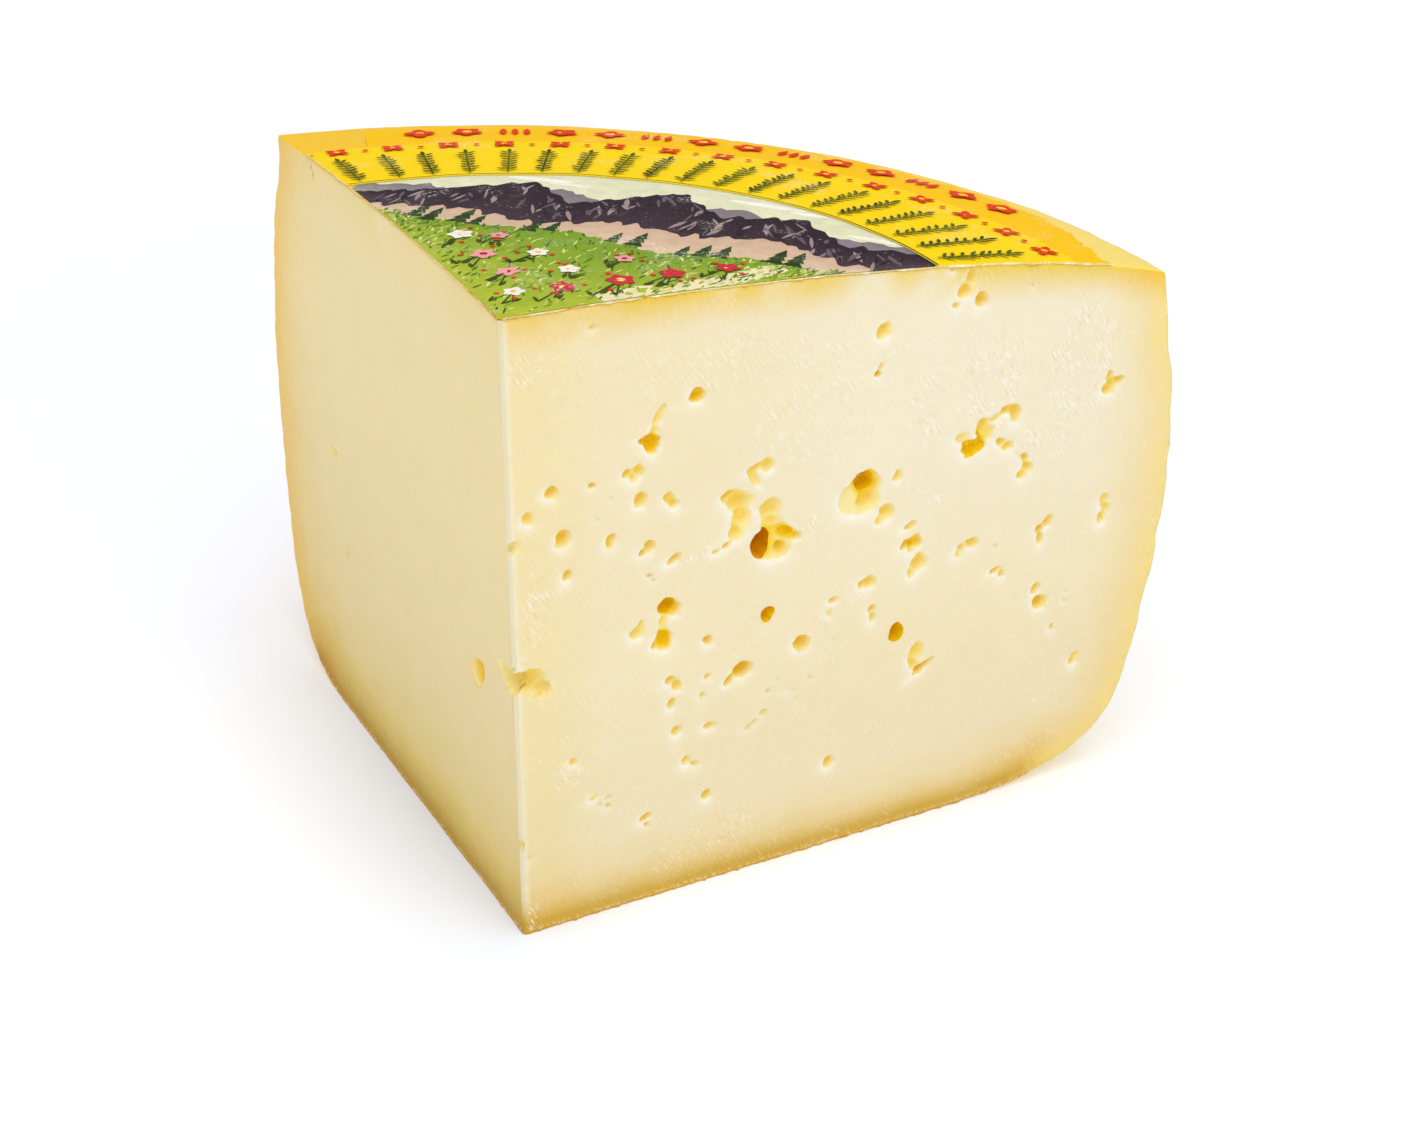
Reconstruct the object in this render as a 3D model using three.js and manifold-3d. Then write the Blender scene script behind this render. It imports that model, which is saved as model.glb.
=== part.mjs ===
// A quarter cut from a tall pressed cheese wheel. It stands on the wheel's flat base, with the belly of
// the rim at the back, two knife cuts full of small eyes meeting in the upright front edge, and a printed
// paper label lying on top, cut through together with the cheese. Millimetres, +Z up.
import * as THREE from 'three';
import { mergeVertices } from 'three/addons/utils/BufferGeometryUtils.js';
import Module from 'manifold-3d';

const wasm = await Module();
wasm.setup();

// ---- Driving dimensions ------------------------------------------------------------------------------
const WHEEL_HEIGHT = 145;        // height at the wheel's axis, which is the wedge's upright front edge
const WEDGE_ANGLE = 90;          // degrees between the two cuts
const CUT_TWIST = -3.25;         // degrees that the knife turned about the axis on its way from base to top
const SHOULDER_RADIUS = 155;     // radius of the edge where the top meets the rim

// How far the domed top has sunk where it meets the rim at each cut: a wide dome, and a drop at the rim.
const DOME_FALL = { first: 11.7, second: 8.8 };
const DOME_POWER = 2;
const SHOULDER_FALL = { first: 3.1, second: -1.1 };
const SHOULDER_POWER = 8;

// The rim at each cut, from the edge of the flat base up to the shoulder: [radius, height].
const BASE_RADIUS = 112;
const RIM_OUTLINE = {
  first: [
    [BASE_RADIUS, 0], [130, 1.5], [146, 6.8], [156, 17], [160.3, 34], [163, 62], [161.5, 97], [158, 115],
  ],
  second: [
    [BASE_RADIUS, 0], [123, 1], [136.5, 6], [146.5, 19], [152.5, 38], [161, 78], [160, 112], [154.4, 130],
  ],
};

// The paper label on top.
const LABEL_RADIUS = 148;        // outer edge of the printed ring
const LABEL_WORN_RADIUS = 140;   // at the first cut, where its edge has worn off
const LABEL_WORN_SHARE = 0.17;   // share of the wedge's angle over which it has
const LABEL_INNER_RADIUS = 131;  // where the ring is missing, beside the second cut
const LABEL_RING_END = 0.915;    // share of the wedge's angle at which the ring stops
const LABEL_STEP = 0.01;         // share of the angle that the ring's end takes
const LABEL_THICKNESS = 0.4;
const LABEL_GAP = 0.3;           // clearance between the paper and the cheese

// Grid steps of the block: outwards from the axis, up the rim, and round the wedge.
const STEPS_OUT = 10;
const STEPS_UP = 12;
const STEPS_ROUND = 26;
const LABEL_STEPS_OUT = 8;

// Distances under which two corners of a mesh are one.
const GRID_WELD = 1e-4;
const CUT_WELD = 0.02;

// Eyes opened by each cut: [distance from the axis, height above the base, width, height of the opening,
// depth, lean in degrees, anticlockwise as seen from outside].
const FIRST_CUT_EYES = [
  // upper row, from the front edge to the rim
  [85.2, 128.5, 3.4, 3.9, 2.5, 0], [84.8, 119.4, 1.8, 3.6, 1.6, 0],
  [105.4, 134.6, 5.4, 4.6, 3.5, 0], [109, 131.4, 3.6, 3.3, 3, 0], [144.6, 105.6, 5.2, 4.6, 3, 15],
  // beside the front edge
  [1.4, 95.7, 4, 3.8, 1.6, 0], [4.6, 101.5, 2.6, 2.9, 1.8, 0], [10, 106.2, 3.1, 2.7, 2, 10],
  [12.3, 95.3, 3.4, 4.1, 3, 0], [12.7, 86.8, 2.4, 3, 2, 0],
  [0, 64.4, 5, 6, 4.5, 0], [5.4, 62.8, 7.4, 4.6, 3.6, 0],
  // the chain that leads down from a slit
  [42, 122, 3.2, 3.4, 3, 0], [33.6, 119, 1.9, 9, 2, -26], [31.8, 113, 4.4, 5.2, 4.5, 0],
  [27.8, 107, 5.2, 3.2, 2.5, 20], [29.3, 100.5, 3.2, 3.9, 2.5, 0], [36.3, 99, 3.5, 3.9, 2.5, 0],
  [22.7, 92.5, 2.8, 3.2, 2.2, 0], [30.8, 89, 3.7, 4, 2.5, 0], [37.5, 84.9, 3.3, 3.6, 2.5, 0],
  // the torn cluster in the middle
  [56.8, 102.4, 2.8, 5.8, 2.6, -10], [60.6, 102.6, 2.6, 5.4, 2.6, -10], [51.6, 95.6, 9, 9.4, 3.6, 0],
  [50.2, 87, 10.5, 2.4, 2.2, 40], [59.9, 92.5, 5.6, 5, 4, 0], [57, 84.4, 4.8, 7.4, 9, 0],
  [62.6, 86, 8.4, 4.2, 3.6, 0], [67.3, 84, 4.4, 2.6, 2.2, -20],
  // two deep eyes joined by a neck, and their neighbours
  [35.8, 73.7, 6.4, 5.2, 5, 0], [34.8, 70, 2.6, 4, 2.6, 0], [34.4, 66, 5.1, 5.2, 4.5, 0],
  [28.6, 69.2, 3, 4.4, 2.5, -20], [45.1, 63.5, 2.5, 2.6, 2, 0], [59.8, 66.2, 3.3, 3.5, 7, 0],
  [68.6, 56.8, 4.4, 3.9, 3, 0], [53.3, 53.6, 6.2, 4.4, 5, 0], [50.4, 51.4, 4.2, 2.2, 2.6, 30],
  [36.8, 54.7, 4.6, 3.6, 2.4, 0], [36.3, 50, 2.2, 3, 1.8, 0],
  // the small eyes low on the cut
  [37.5, 42.3, 2.5, 2.8, 1.8, 0], [45.9, 41.2, 3.1, 2.3, 1.6, 0], [40, 33.2, 3.1, 3.2, 2, 0],
  [76.7, 23, 3, 3, 2, 0], [45.3, 23.2, 2.4, 3, 1.8, 0], [30.4, 22.1, 3.9, 3.2, 2.2, 0],
  // the big round eye and the chain below it
  [81.7, 91, 10.6, 11.2, 5, 0], [82.6, 94, 6.2, 5.2, 9, 0], [90.5, 93.4, 2.6, 3, 1.8, 0],
  [87.8, 84.4, 4.7, 4.4, 2.5, 0], [94.9, 80.3, 3.4, 2.4, 1.6, 0], [95, 75.8, 6.9, 4.6, 3.5, 15],
  [97.2, 69.6, 5.1, 6, 3.5, 0], [84.6, 68.4, 4.5, 3.4, 2.5, 0], [86, 59.8, 2.5, 4.7, 2, 0],
  [75.5, 64.4, 2.6, 4.6, 1.8, 0], [92.9, 53.1, 4.2, 5.4, 8, 0], [98.6, 46.1, 5.6, 5.8, 4, 0],
  [100.3, 42, 9, 1.9, 4, 45],
  // the crooked cluster near the rim
  [119, 103.2, 4.8, 5, 3.5, 0], [115.2, 101.2, 5, 3.6, 3.5, 30], [110.8, 98.2, 4.6, 4.2, 5, 0],
  [107.3, 96.2, 4.4, 3.8, 5, 0], [117.4, 96, 4.6, 3.8, 3, 0], [123.4, 88.6, 4.4, 6, 3.5, -15],
  // scattered towards the rim
  [110.1, 71, 6.6, 3.8, 3, 10], [118.8, 62.7, 4.2, 2.8, 2.2, 0], [130.3, 71.2, 4.6, 6.4, 3, -10],
  [131.4, 52.2, 4.2, 4.8, 3, 0], [147.4, 74.4, 3.6, 4.4, 2.5, 0], [146.2, 70.4, 3, 4.4, 2.5, 0],
  [143.3, 32.7, 2.1, 4, 2, -20],
];
const SECOND_CUT_EYES = [
  [115.4, 68.9, 5, 2.8, 2.2, 0], [106.3, 44.7, 3, 3.2, 1.8, 0], [20.5, 56.1, 5.6, 7, 4, 0],
];
const SMALL_EYE = 3.3;           // eyes up to this wide have 32 faces
const LARGE_EYE = 5.5;           // and from this wide 180, with 80 between the two
const EYE_LUMPS = 0.14;          // how uneven an eye's wall is, as a share of its size
const LUMP_WAVES = [2.7, 3.1];   // radians of wave in a unit of length, across and along the eye
const LUMP_SHIFT = 1.7;          // radians by which the lumps move on from one eye to the next
const EYE_TURN = [0.43, 0.27];   // radians of turn that keep the corners of an eye's faces out of the cut

// ---- The wheel's shape -------------------------------------------------------------------------------
const radians = THREE.MathUtils.degToRad;
const mix = THREE.MathUtils.lerp;

function domeHeight(radius, round) {
  const share = radius / SHOULDER_RADIUS;
  const dome = mix(DOME_FALL.first, DOME_FALL.second, round) * share ** DOME_POWER;
  const shoulder = mix(SHOULDER_FALL.first, SHOULDER_FALL.second, round) * share ** SHOULDER_POWER;
  return WHEEL_HEIGHT - dome - shoulder;
}

function rimCurve(cut, round) {
  const points = [...RIM_OUTLINE[cut], [SHOULDER_RADIUS, domeHeight(SHOULDER_RADIUS, round)]];
  return new THREE.SplineCurve(points.map(([radius, height]) => new THREE.Vector2(radius, height)));
}
const RIM_CURVES = [rimCurve('first', 0), rimCurve('second', 1)];

// A point of the rim, at a share of the way round the wedge and of the way up the rim.
function rimPoint(round, up) {
  return RIM_CURVES[0].getPointAt(up).lerp(RIM_CURVES[1].getPointAt(up), round);
}

// Radius and height inside the wheel's section, blended from its four sides: base, top, axis and rim.
function sectionPoint(round, out, up) {
  const rim = rimPoint(round, up);
  const shoulderHeight = domeHeight(SHOULDER_RADIUS, round);
  const height = up * domeHeight(out * SHOULDER_RADIUS, round)
    + mix(up * WHEEL_HEIGHT, rim.y, out) - up * mix(WHEEL_HEIGHT, shoulderHeight, out);
  return [out * rim.x, height];
}

// A place in the wheel: the first cut is at round = 0, the second at round = 1.
function wheelPoint(round, radius, height) {
  const twist = CUT_TWIST * (height / WHEEL_HEIGHT - 0.5);
  const angle = radians(90 + WEDGE_ANGLE * (round - 0.5) + twist);
  return new THREE.Vector3(radius * Math.cos(angle), radius * Math.sin(angle), height);
}

// ---- Mesh helpers ------------------------------------------------------------------------------------
// Triangles of a grid of columns × rows cells, where pointAt(u, v) gives each corner for u and v in 0..1.
function gridTriangles(columns, rows, pointAt) {
  const corner = (i, j) => pointAt(i / columns, j / rows);
  const positions = [];
  for (let i = 0; i < columns; i += 1) {
    for (let j = 0; j < rows; j += 1) {
      const [a, b, c, d] = [corner(i, j), corner(i + 1, j), corner(i + 1, j + 1), corner(i, j + 1)];
      for (const point of [a, b, c, a, c, d]) positions.push(...point);
    }
  }
  return positions;
}

// The same surface with corners closer than the tolerance made one, and the faces this closes up dropped.
function weld(geometry, tolerance) {
  const merged = mergeVertices(geometry, tolerance);
  const index = merged.getIndex().array;
  const kept = [];
  for (let k = 0; k < index.length; k += 3) {
    const [a, b, c] = index.slice(k, k + 3);
    if (a !== b && b !== c && c !== a) kept.push(a, b, c);
  }
  merged.setIndex(kept);
  return merged;
}

// One closed geometry from the grids of its sides.
function closedGeometry(grids) {
  const geometry = new THREE.BufferGeometry();
  geometry.setAttribute('position', new THREE.Float32BufferAttribute(grids.flat(), 3));
  return weld(geometry, GRID_WELD);
}

// The six sides of a block in (round, out, up), which blockPoint turns into places.
function blockSides(stepsRound, stepsOut, stepsUp, blockPoint) {
  return [
    gridTriangles(stepsOut, stepsUp, (u, v) => blockPoint(0, u, v)),
    gridTriangles(stepsUp, stepsOut, (u, v) => blockPoint(1, v, u)),
    gridTriangles(stepsRound, stepsUp, (u, v) => blockPoint(u, 1, v)),
    gridTriangles(stepsOut, stepsRound, (u, v) => blockPoint(v, u, 1)),
    gridTriangles(stepsRound, stepsOut, (u, v) => blockPoint(u, v, 0)),
  ];
}

function toManifold(geometry) {
  return new wasm.Manifold(new wasm.Mesh({
    numProp: 3,
    vertProperties: new Float32Array(geometry.getAttribute('position').array),
    triVerts: new Uint32Array(geometry.getIndex().array),
  }));
}

function fromManifold(solid) {
  const { vertProperties, triVerts } = solid.getMesh();
  const geometry = new THREE.BufferGeometry();
  geometry.setAttribute('position', new THREE.BufferAttribute(vertProperties, 3));
  geometry.setIndex(new THREE.BufferAttribute(triVerts, 1));
  const welded = weld(geometry, CUT_WELD);
  welded.computeVertexNormals();
  return welded;
}

// ---- The cheese --------------------------------------------------------------------------------------
function eyeBall(width) {
  if (width <= SMALL_EYE) return new THREE.OctahedronGeometry(1, 1);
  return new THREE.IcosahedronGeometry(1, width < LARGE_EYE ? 1 : 2);
}

// A lumpy hollow centred on a cut, so that half of it is sunk in the cheese.
function eyeCutter(round, [radius, height, width, tall, depth, lean], number) {
  const ball = eyeBall(Math.max(width, tall));
  ball.deleteAttribute('normal');
  ball.deleteAttribute('uv');
  const geometry = weld(ball, GRID_WELD);
  geometry.rotateX(EYE_TURN[0] + number);
  geometry.rotateY(EYE_TURN[1]);
  const position = geometry.getAttribute('position');
  const [waveAcross, waveAlong] = LUMP_WAVES;
  const point = new THREE.Vector3();
  for (let k = 0; k < position.count; k += 1) {
    point.fromBufferAttribute(position, k);
    const lump = Math.sin(waveAcross * point.x + number)
      * Math.cos(waveAlong * point.y - LUMP_SHIFT * number);
    point.multiplyScalar(1 + EYE_LUMPS * lump);
    position.setXYZ(k, point.x, point.y, point.z);
  }
  const place = wheelPoint(round, radius, height);
  const along = wheelPoint(round, 1, height).setZ(0).normalize();
  const outward = new THREE.Vector3(along.y, -along.x, 0).multiplyScalar(round === 0 ? 1 : -1);
  const upward = new THREE.Vector3(0, 0, 1);
  const rightward = upward.clone().cross(outward);
  const frame = new THREE.Matrix4().makeBasis(rightward, upward, outward).setPosition(place);
  geometry.scale(width / 2, tall / 2, depth);
  geometry.rotateZ(radians(lean));
  geometry.applyMatrix4(frame);
  return toManifold(geometry);
}

function makeCheese() {
  const block = (round, out, up) => wheelPoint(round, ...sectionPoint(round, out, up));
  let cheese = toManifold(closedGeometry(blockSides(STEPS_ROUND, STEPS_OUT, STEPS_UP, block)));
  FIRST_CUT_EYES.forEach((eye, number) => {
    cheese = cheese.subtract(eyeCutter(0, eye, number));
  });
  SECOND_CUT_EYES.forEach((eye, number) => {
    cheese = cheese.subtract(eyeCutter(1, eye, number));
  });
  const material = new THREE.MeshStandardMaterial({ color: 0xeedfab, roughness: 0.5, metalness: 0 });
  const mesh = new THREE.Mesh(fromManifold(cheese), material);
  mesh.name = 'cheese';
  return mesh;
}

// ---- The label ---------------------------------------------------------------------------------------
function labelRadius(round) {
  const ring = mix(LABEL_WORN_RADIUS, LABEL_RADIUS, THREE.MathUtils.smoothstep(round, 0, LABEL_WORN_SHARE));
  const missing = THREE.MathUtils.smoothstep(round, LABEL_RING_END, LABEL_RING_END + LABEL_STEP);
  return mix(ring, LABEL_INNER_RADIUS, missing);
}

// Shares of the way round at which the label has corners: even steps, closer at the end of the ring.
function labelRounds() {
  const even = Array.from({ length: STEPS_ROUND + 1 }, (_, k) => k / STEPS_ROUND);
  const clear = even.filter((round) => Math.abs(round - LABEL_RING_END) > 2 * LABEL_STEP);
  return [...clear, LABEL_RING_END, LABEL_RING_END + LABEL_STEP].sort((a, b) => a - b);
}

function makeLabel() {
  const rounds = labelRounds();
  const block = (share, out, up) => {
    const round = rounds[Math.round(share * (rounds.length - 1))];
    const radius = out * labelRadius(round);
    return wheelPoint(round, radius, domeHeight(radius, round) + LABEL_GAP + up * LABEL_THICKNESS);
  };
  const sides = blockSides(rounds.length - 1, LABEL_STEPS_OUT, 1, block);
  const material = new THREE.MeshStandardMaterial({ color: 0xf6cf22, roughness: 0.55, metalness: 0 });
  const geometry = closedGeometry(sides);
  geometry.computeVertexNormals();
  const mesh = new THREE.Mesh(geometry, material);
  mesh.name = 'label';
  return mesh;
}

// ---- The part: its origin is the middle of its footprint, on the surface that it stands on --------------
const wedge = new THREE.Group();
wedge.add(makeCheese(), makeLabel());
const extent = new THREE.Box3().setFromObject(wedge, true);
const middle = extent.getCenter(new THREE.Vector3());
wedge.position.set(-middle.x, -middle.y, -extent.min.z);
wedge.updateMatrixWorld(true);

export default wedge;
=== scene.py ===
"""The dressed cheese wedge: a quarter of a tall pressed wheel with small eyes in its two cuts, and the
printed paper label on its top. Lengths are millimetres until a mesh is made, which is in metres. The
wheel's own places are (round, radius, height): round is 0 at the first cut and 1 at the second."""
import math

import bpy
import numpy as np
from mathutils import Matrix, Vector


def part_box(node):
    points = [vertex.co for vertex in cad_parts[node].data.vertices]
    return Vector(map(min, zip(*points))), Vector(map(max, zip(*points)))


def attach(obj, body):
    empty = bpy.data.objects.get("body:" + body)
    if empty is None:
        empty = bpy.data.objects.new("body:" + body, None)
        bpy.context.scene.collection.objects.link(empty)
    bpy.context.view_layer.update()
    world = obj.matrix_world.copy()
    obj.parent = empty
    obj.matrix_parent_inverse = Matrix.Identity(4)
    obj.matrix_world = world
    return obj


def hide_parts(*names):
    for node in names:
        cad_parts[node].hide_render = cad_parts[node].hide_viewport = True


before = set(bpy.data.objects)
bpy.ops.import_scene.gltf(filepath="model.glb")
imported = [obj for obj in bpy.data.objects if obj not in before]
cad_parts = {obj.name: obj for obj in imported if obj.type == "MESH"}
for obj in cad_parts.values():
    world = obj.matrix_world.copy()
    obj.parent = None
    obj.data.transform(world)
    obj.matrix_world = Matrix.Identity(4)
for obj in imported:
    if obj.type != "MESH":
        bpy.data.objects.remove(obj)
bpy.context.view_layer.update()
MM = 0.001

# ---- The wheel, as in the CAD model ----
WHEEL_HEIGHT = 145.0
WEDGE_ANGLE = 90.0
CUT_TWIST = -3.25  # degrees that the knife turned on its way from base to top
SHOULDER_RADIUS = 155.0
BASE_RADIUS = 112.0
FOOT_TALL = 2.5  # how far up the rim its foot counts as base
DOME_FALL = (11.7, 8.8)  # at the first and the second cut
SHOULDER_FALL = (3.1, -1.1)
SHOULDER_POWER = 8
FIRST_RIM = [(112, 0), (130, 1.5), (146, 6.8), (156, 17), (160.3, 34), (163, 62), (161.5, 97), (158, 115)]
SECOND_RIM = [(112, 0), (123, 1), (136.5, 6), (146.5, 19), (152.5, 38), (161, 78), (160, 112), (154.4, 130)]
# (height, millimetres out): the rind's wavy steps beside each cut.
FIRST_RIM_STEPS = [
    (8, 0), (16, 0.6), (26, 1.1), (37, 0.4), (43, 0), (48, -0.55), (54, -0.3), (58, 0.1), (62, -0.5),
    (67, 0.2), (72, 0.5), (82, 0.6), (86, 1), (92, 0.2), (101, 0.5), (112, 0.2), (125, 0),
]
SECOND_RIM_STEPS = [
    (45, 0.1), (53, -0.5), (62, 0), (85, 0), (92, -0.7), (104, -0.6), (110, 0.1), (123, 0.2), (127, -0.3),
    (133, -0.1), (140, 0),
]
RIM_STEP_REACH = 0.25  # share of the way round over which they fade
TOP_EDGE_SPREAD = 400  # millimetres that the way up the rim counts for where its top is rounded
FRONT_EDGE_RADIUS = 0.9  # of the rounded front edge
EDGE_ROUNDING = 0.8  # of the other edges

# ---- Eyes: (distance from the axis, height, width, tall, depth, lean in degrees anticlockwise, if any) ----
FIRST_CUT_EYES = [
    # alone, high on the cut
    (42.2, 121.6, 3.6, 3.8, 3), (85.4, 128.5, 3.4, 4, 2.2), (84.4, 127.5, 1.8, 2.2, 1.4),
    (84.9, 120.1, 1.4, 2.8, 1.2, -20), (84.3, 118.4, 1.6, 1.6, 2), (19.8, 140.2, 2.2, 1.2, 0.8, 20),
    (13.1, 138.5, 0.9, 0.7, 0.5), (121, 132.7, 1.2, 1.2, 1),
    # open under the label
    (105.8, 136.9, 3.2, 4, 2.4), (104.4, 134, 4.4, 3.4, 2.6, 20), (108.6, 131.3, 3.4, 3.8, 2.8),
    (102.4, 130.9, 2, 1.5, 1), (101, 139.3, 2.4, 1.8, 1.2),
    # star near the rim
    (144.4, 104.9, 4, 3, 2.5, 15), (143.5, 107, 1.7, 3.2, 2, 10), (146.5, 105.7, 2.6, 1.8, 2, 15),
    (143.3, 103.7, 2.8, 2.4, 2.4),
    # slit and the eye it runs into
    (33.6, 118.3, 1.9, 6.2, 1.4, -27), (32.6, 115.3, 1.7, 2.8, 1.2, -10), (32.2, 112.5, 3.8, 4.8, 4.2),
    (30.5, 113.5, 2.8, 1.6, 3.4, 10),
    # tilted three-lobed eye
    (26.7, 107, 2.8, 1.7, 1.8, 35), (29.2, 106.9, 2.6, 3.2, 1.8, -10), (28, 105.9, 2.2, 2.6, 1.6),
    # row beside the front edge
    (9.9, 105.9, 3.4, 2.9, 2.4, 5), (18.7, 105.9, 1.8, 1.5, 1.4, 15), (22.7, 102.2, 1.1, 0.7, 0.4, -20),
    (19.8, 98.1, 1.4, 0.8, 0.5, 20), (4.8, 101.2, 2.8, 3.4, 1.6, -10), (12.1, 95.1, 3.6, 4.3, 3, -15),
    # scattered middle left
    (29.5, 100.4, 3.1, 4.2, 2.4, -25), (36, 99.5, 2.4, 2.8, 1.8), (37, 98.1, 2.2, 3.4, 1.8, 20),
    (22.9, 92.8, 2.5, 2.6, 2), (22.3, 91.5, 1.2, 2, 1.6), (31.6, 89.1, 2.8, 3.2, 2.2, -20),
    (29.9, 87.9, 2, 1.7, 2.2, 25), (37.2, 84.8, 4.1, 2.1, 1.8, 30), (12.8, 86.3, 2.1, 3.6, 1.8, -30),
    (31.8, 81.9, 1.6, 1.1, 0.9, -20), (32.4, 81, 1.2, 0.8, 0.8, -40),
    # torn cluster: the hook
    (58.9, 102.4, 3, 4, 1.8), (56.2, 102.2, 4.4, 2.2, 1.8, 20), (55.9, 99.6, 2, 5.2, 1.4, 34),
    # torn cluster: the shallow valley
    (49.7, 96.9, 3.8, 2.6, 2.4, 25), (52.6, 95, 6.2, 5.2, 3), (53, 91.1, 4.4, 5.2, 2.6),
    (51.8, 87.7, 4, 4, 2.2, -20), (49.6, 85.4, 3.4, 1.4, 1.4, 35), (47, 84.3, 2.4, 1.7, 1, 15),
    # torn cluster: the shoulder, the bowl round the core and its wing
    (59.9, 91.7, 5.4, 5.2, 2.6), (60.4, 88.3, 3.6, 3.6, 2), (60.6, 83.6, 8, 9.8, 3),
    (62.8, 81.4, 3.4, 4, 4.4), (63.6, 84.5, 4.4, 4.2, 3.4), (66, 83.8, 4.4, 2.1, 2, -10),
    # joined eyes
    (36.8, 72.8, 4.6, 3.9, 2.6, -10), (34.7, 69.7, 1.9, 4.8, 1.3), (34.8, 65.7, 4.4, 5.2, 3.6),
    (32.7, 65.1, 2.2, 1.7, 3, 20),
    # around them
    (28.6, 68.8, 3.6, 3, 1.9, 10), (29.5, 70.4, 1.3, 2.8, 1.3, -15), (45.2, 63.2, 2.5, 2.8, 2, -10),
    (68.4, 56.5, 4.6, 4.2, 3.7), (75.9, 65.6, 2.6, 2.1, 1.4, 20), (75, 62.6, 2, 1.7, 0.8),
    (53.9, 53.5, 5.2, 4.2, 4.8, 10), (50.6, 51.9, 3.6, 1.8, 2.4, 45), (36.2, 55.5, 3.6, 2.2, 1.9, 5),
    (37.9, 53.7, 2.4, 3, 1.8), (36.4, 49.5, 2.1, 3.2, 1.8, -20),
    # small ones
    (45.1, 54.1, 1.7, 1.8, 1.2), (43.9, 49.6, 1.5, 1.7, 1.1), (42.5, 57.8, 0.8, 0.7, 0.5),
    (62.5, 48.7, 1.1, 0.7, 0.5, 30), (60.2, 46.3, 1.2, 1, 0.8, 20), (66.3, 44.9, 2.2, 0.9, 0.4, 10),
    (70.6, 47, 1.2, 1, 0.6, 15), (59.2, 40.9, 2.3, 1.2, 1, 25), (57.1, 39.1, 2, 1.2, 0.9, 40),
    (55.3, 38, 1.8, 1.1, 0.9, 30), (76, 55.5, 0.9, 0.7, 0.4),
    # low on the cut
    (37.8, 42, 2.5, 3.2, 1.6, -15), (45.8, 41.2, 3.2, 2.3, 1.5), (13.2, 41.1, 2.1, 1.9, 1.1, 15),
    (40.2, 33.7, 2.2, 3.2, 1.5, -20), (42.4, 32, 2.4, 1.6, 1, -10), (76.6, 22.7, 2.8, 3.4, 2, -25),
    (45.4, 22.9, 2.4, 3.1, 2, -10), (18, 30.7, 3.1, 1.6, 1, 30), (21.2, 29.9, 1.8, 1.2, 0.7, 15),
    (21, 27.5, 1.6, 1.5, 1), (19.1, 28.5, 1, 1, 0.5), (30.3, 21.9, 3.7, 2.1, 2, 20),
    (30.3, 19.9, 1.3, 1.2, 1), (49.3, 9.9, 1.9, 0.9, 0.5, -10), (2.3, 19.6, 1.2, 1.6, 0.8),
    # the big bowl and the chain below it
    (83.2, 92.1, 7, 7.8, 4.4), (80.3, 89.3, 7.8, 8, 1.3, -10), (83.2, 88.5, 6.6, 5.2, 4.4),
    (90.5, 93.1, 2.4, 3.2, 1.6), (88.4, 84.6, 3.8, 4.6, 2.4, -35), (86.7, 82.8, 2, 1.8, 1.2),
    (94.6, 80.1, 3.6, 2.1, 1.8, 20), (96.6, 75.6, 3, 3.8, 2.4), (93.8, 75.7, 3.6, 2.1, 2.6, 35),
    (95, 73.7, 1.6, 1.8, 1), (97.6, 70, 4.6, 4.8, 2.6, -10), (95.7, 67.5, 2.3, 2.8, 1.4),
    # crooked cluster near the rim
    (119.8, 102.3, 3, 5, 2.4), (117.3, 103.6, 3.8, 2.1, 2.2, 20), (114.6, 102, 3.2, 1.5, 1.2, 30),
    (111.6, 100.7, 3.4, 4.8, 2.6, -20), (113.2, 98.9, 3, 3.8, 1.6, -20), (106.4, 99, 4.2, 2.8, 1.3),
    (107.8, 96.1, 3.2, 3.4, 3.4), (110.6, 96.7, 4.4, 3.2, 3.8, 20), (116.8, 96, 3.4, 2.4, 1.8, -30),
    (118.6, 94.5, 2.8, 2.4, 1.6), (121.2, 91.9, 2.8, 0.8, 0.4, -30), (123.4, 90.5, 1.8, 3.2, 1.8, 10),
    (124.3, 88.2, 3.6, 2.8, 2.2), (122.8, 86.6, 2.4, 2.6, 1.8, -20),
    # towards the rim
    (111.6, 71.6, 3.6, 2.8, 2, -10), (108.6, 71, 3.2, 2, 1.5, 35), (108, 69.4, 1.8, 2, 1),
    (131.5, 72.7, 2.3, 3.8, 1.9, -25), (129.4, 71.1, 2.6, 2.2, 2.4, 20), (129.7, 68.6, 1.8, 3, 1.8, -10),
    (146.4, 74.9, 2.6, 3.6, 1.7, -15), (147.4, 72.5, 2.6, 3.2, 1.6), (146.3, 69.9, 2.2, 3.4, 1.9, -5),
    (117.8, 69.5, 1.2, 0.7, 0.5, -35), (118.2, 62.9, 3, 1.8, 1.5, 15), (120, 61.6, 2, 2.4, 1.6),
    (130, 55.2, 2.4, 3.2, 2, -15), (131.5, 51.2, 4.4, 4, 3.2), (135.6, 61.1, 1.2, 1, 0.8),
    (138.5, 50.2, 1.2, 1.2, 0.5), (138.5, 52.2, 1.2, 1.2, 0.5), (135.5, 43.7, 1.7, 2.2, 1.5),
    (143.5, 33.2, 2.2, 3.2, 1.5, -15), (143, 31.7, 2.2, 2.7, 1.5),
    # lower right
    (84.8, 68.2, 4.2, 3.2, 2.2), (83.1, 67.9, 2.2, 2.2, 2), (85.9, 60.6, 2.1, 2.6, 1.6),
    (86.2, 58.5, 1.9, 3, 1.5, -10), (98.6, 45.9, 4.2, 5.8, 2.4, -25), (98.2, 42.9, 2.4, 2.8, 2),
    (100.4, 41.7, 7.1, 1.8, 3.2, 36),
]
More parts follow.
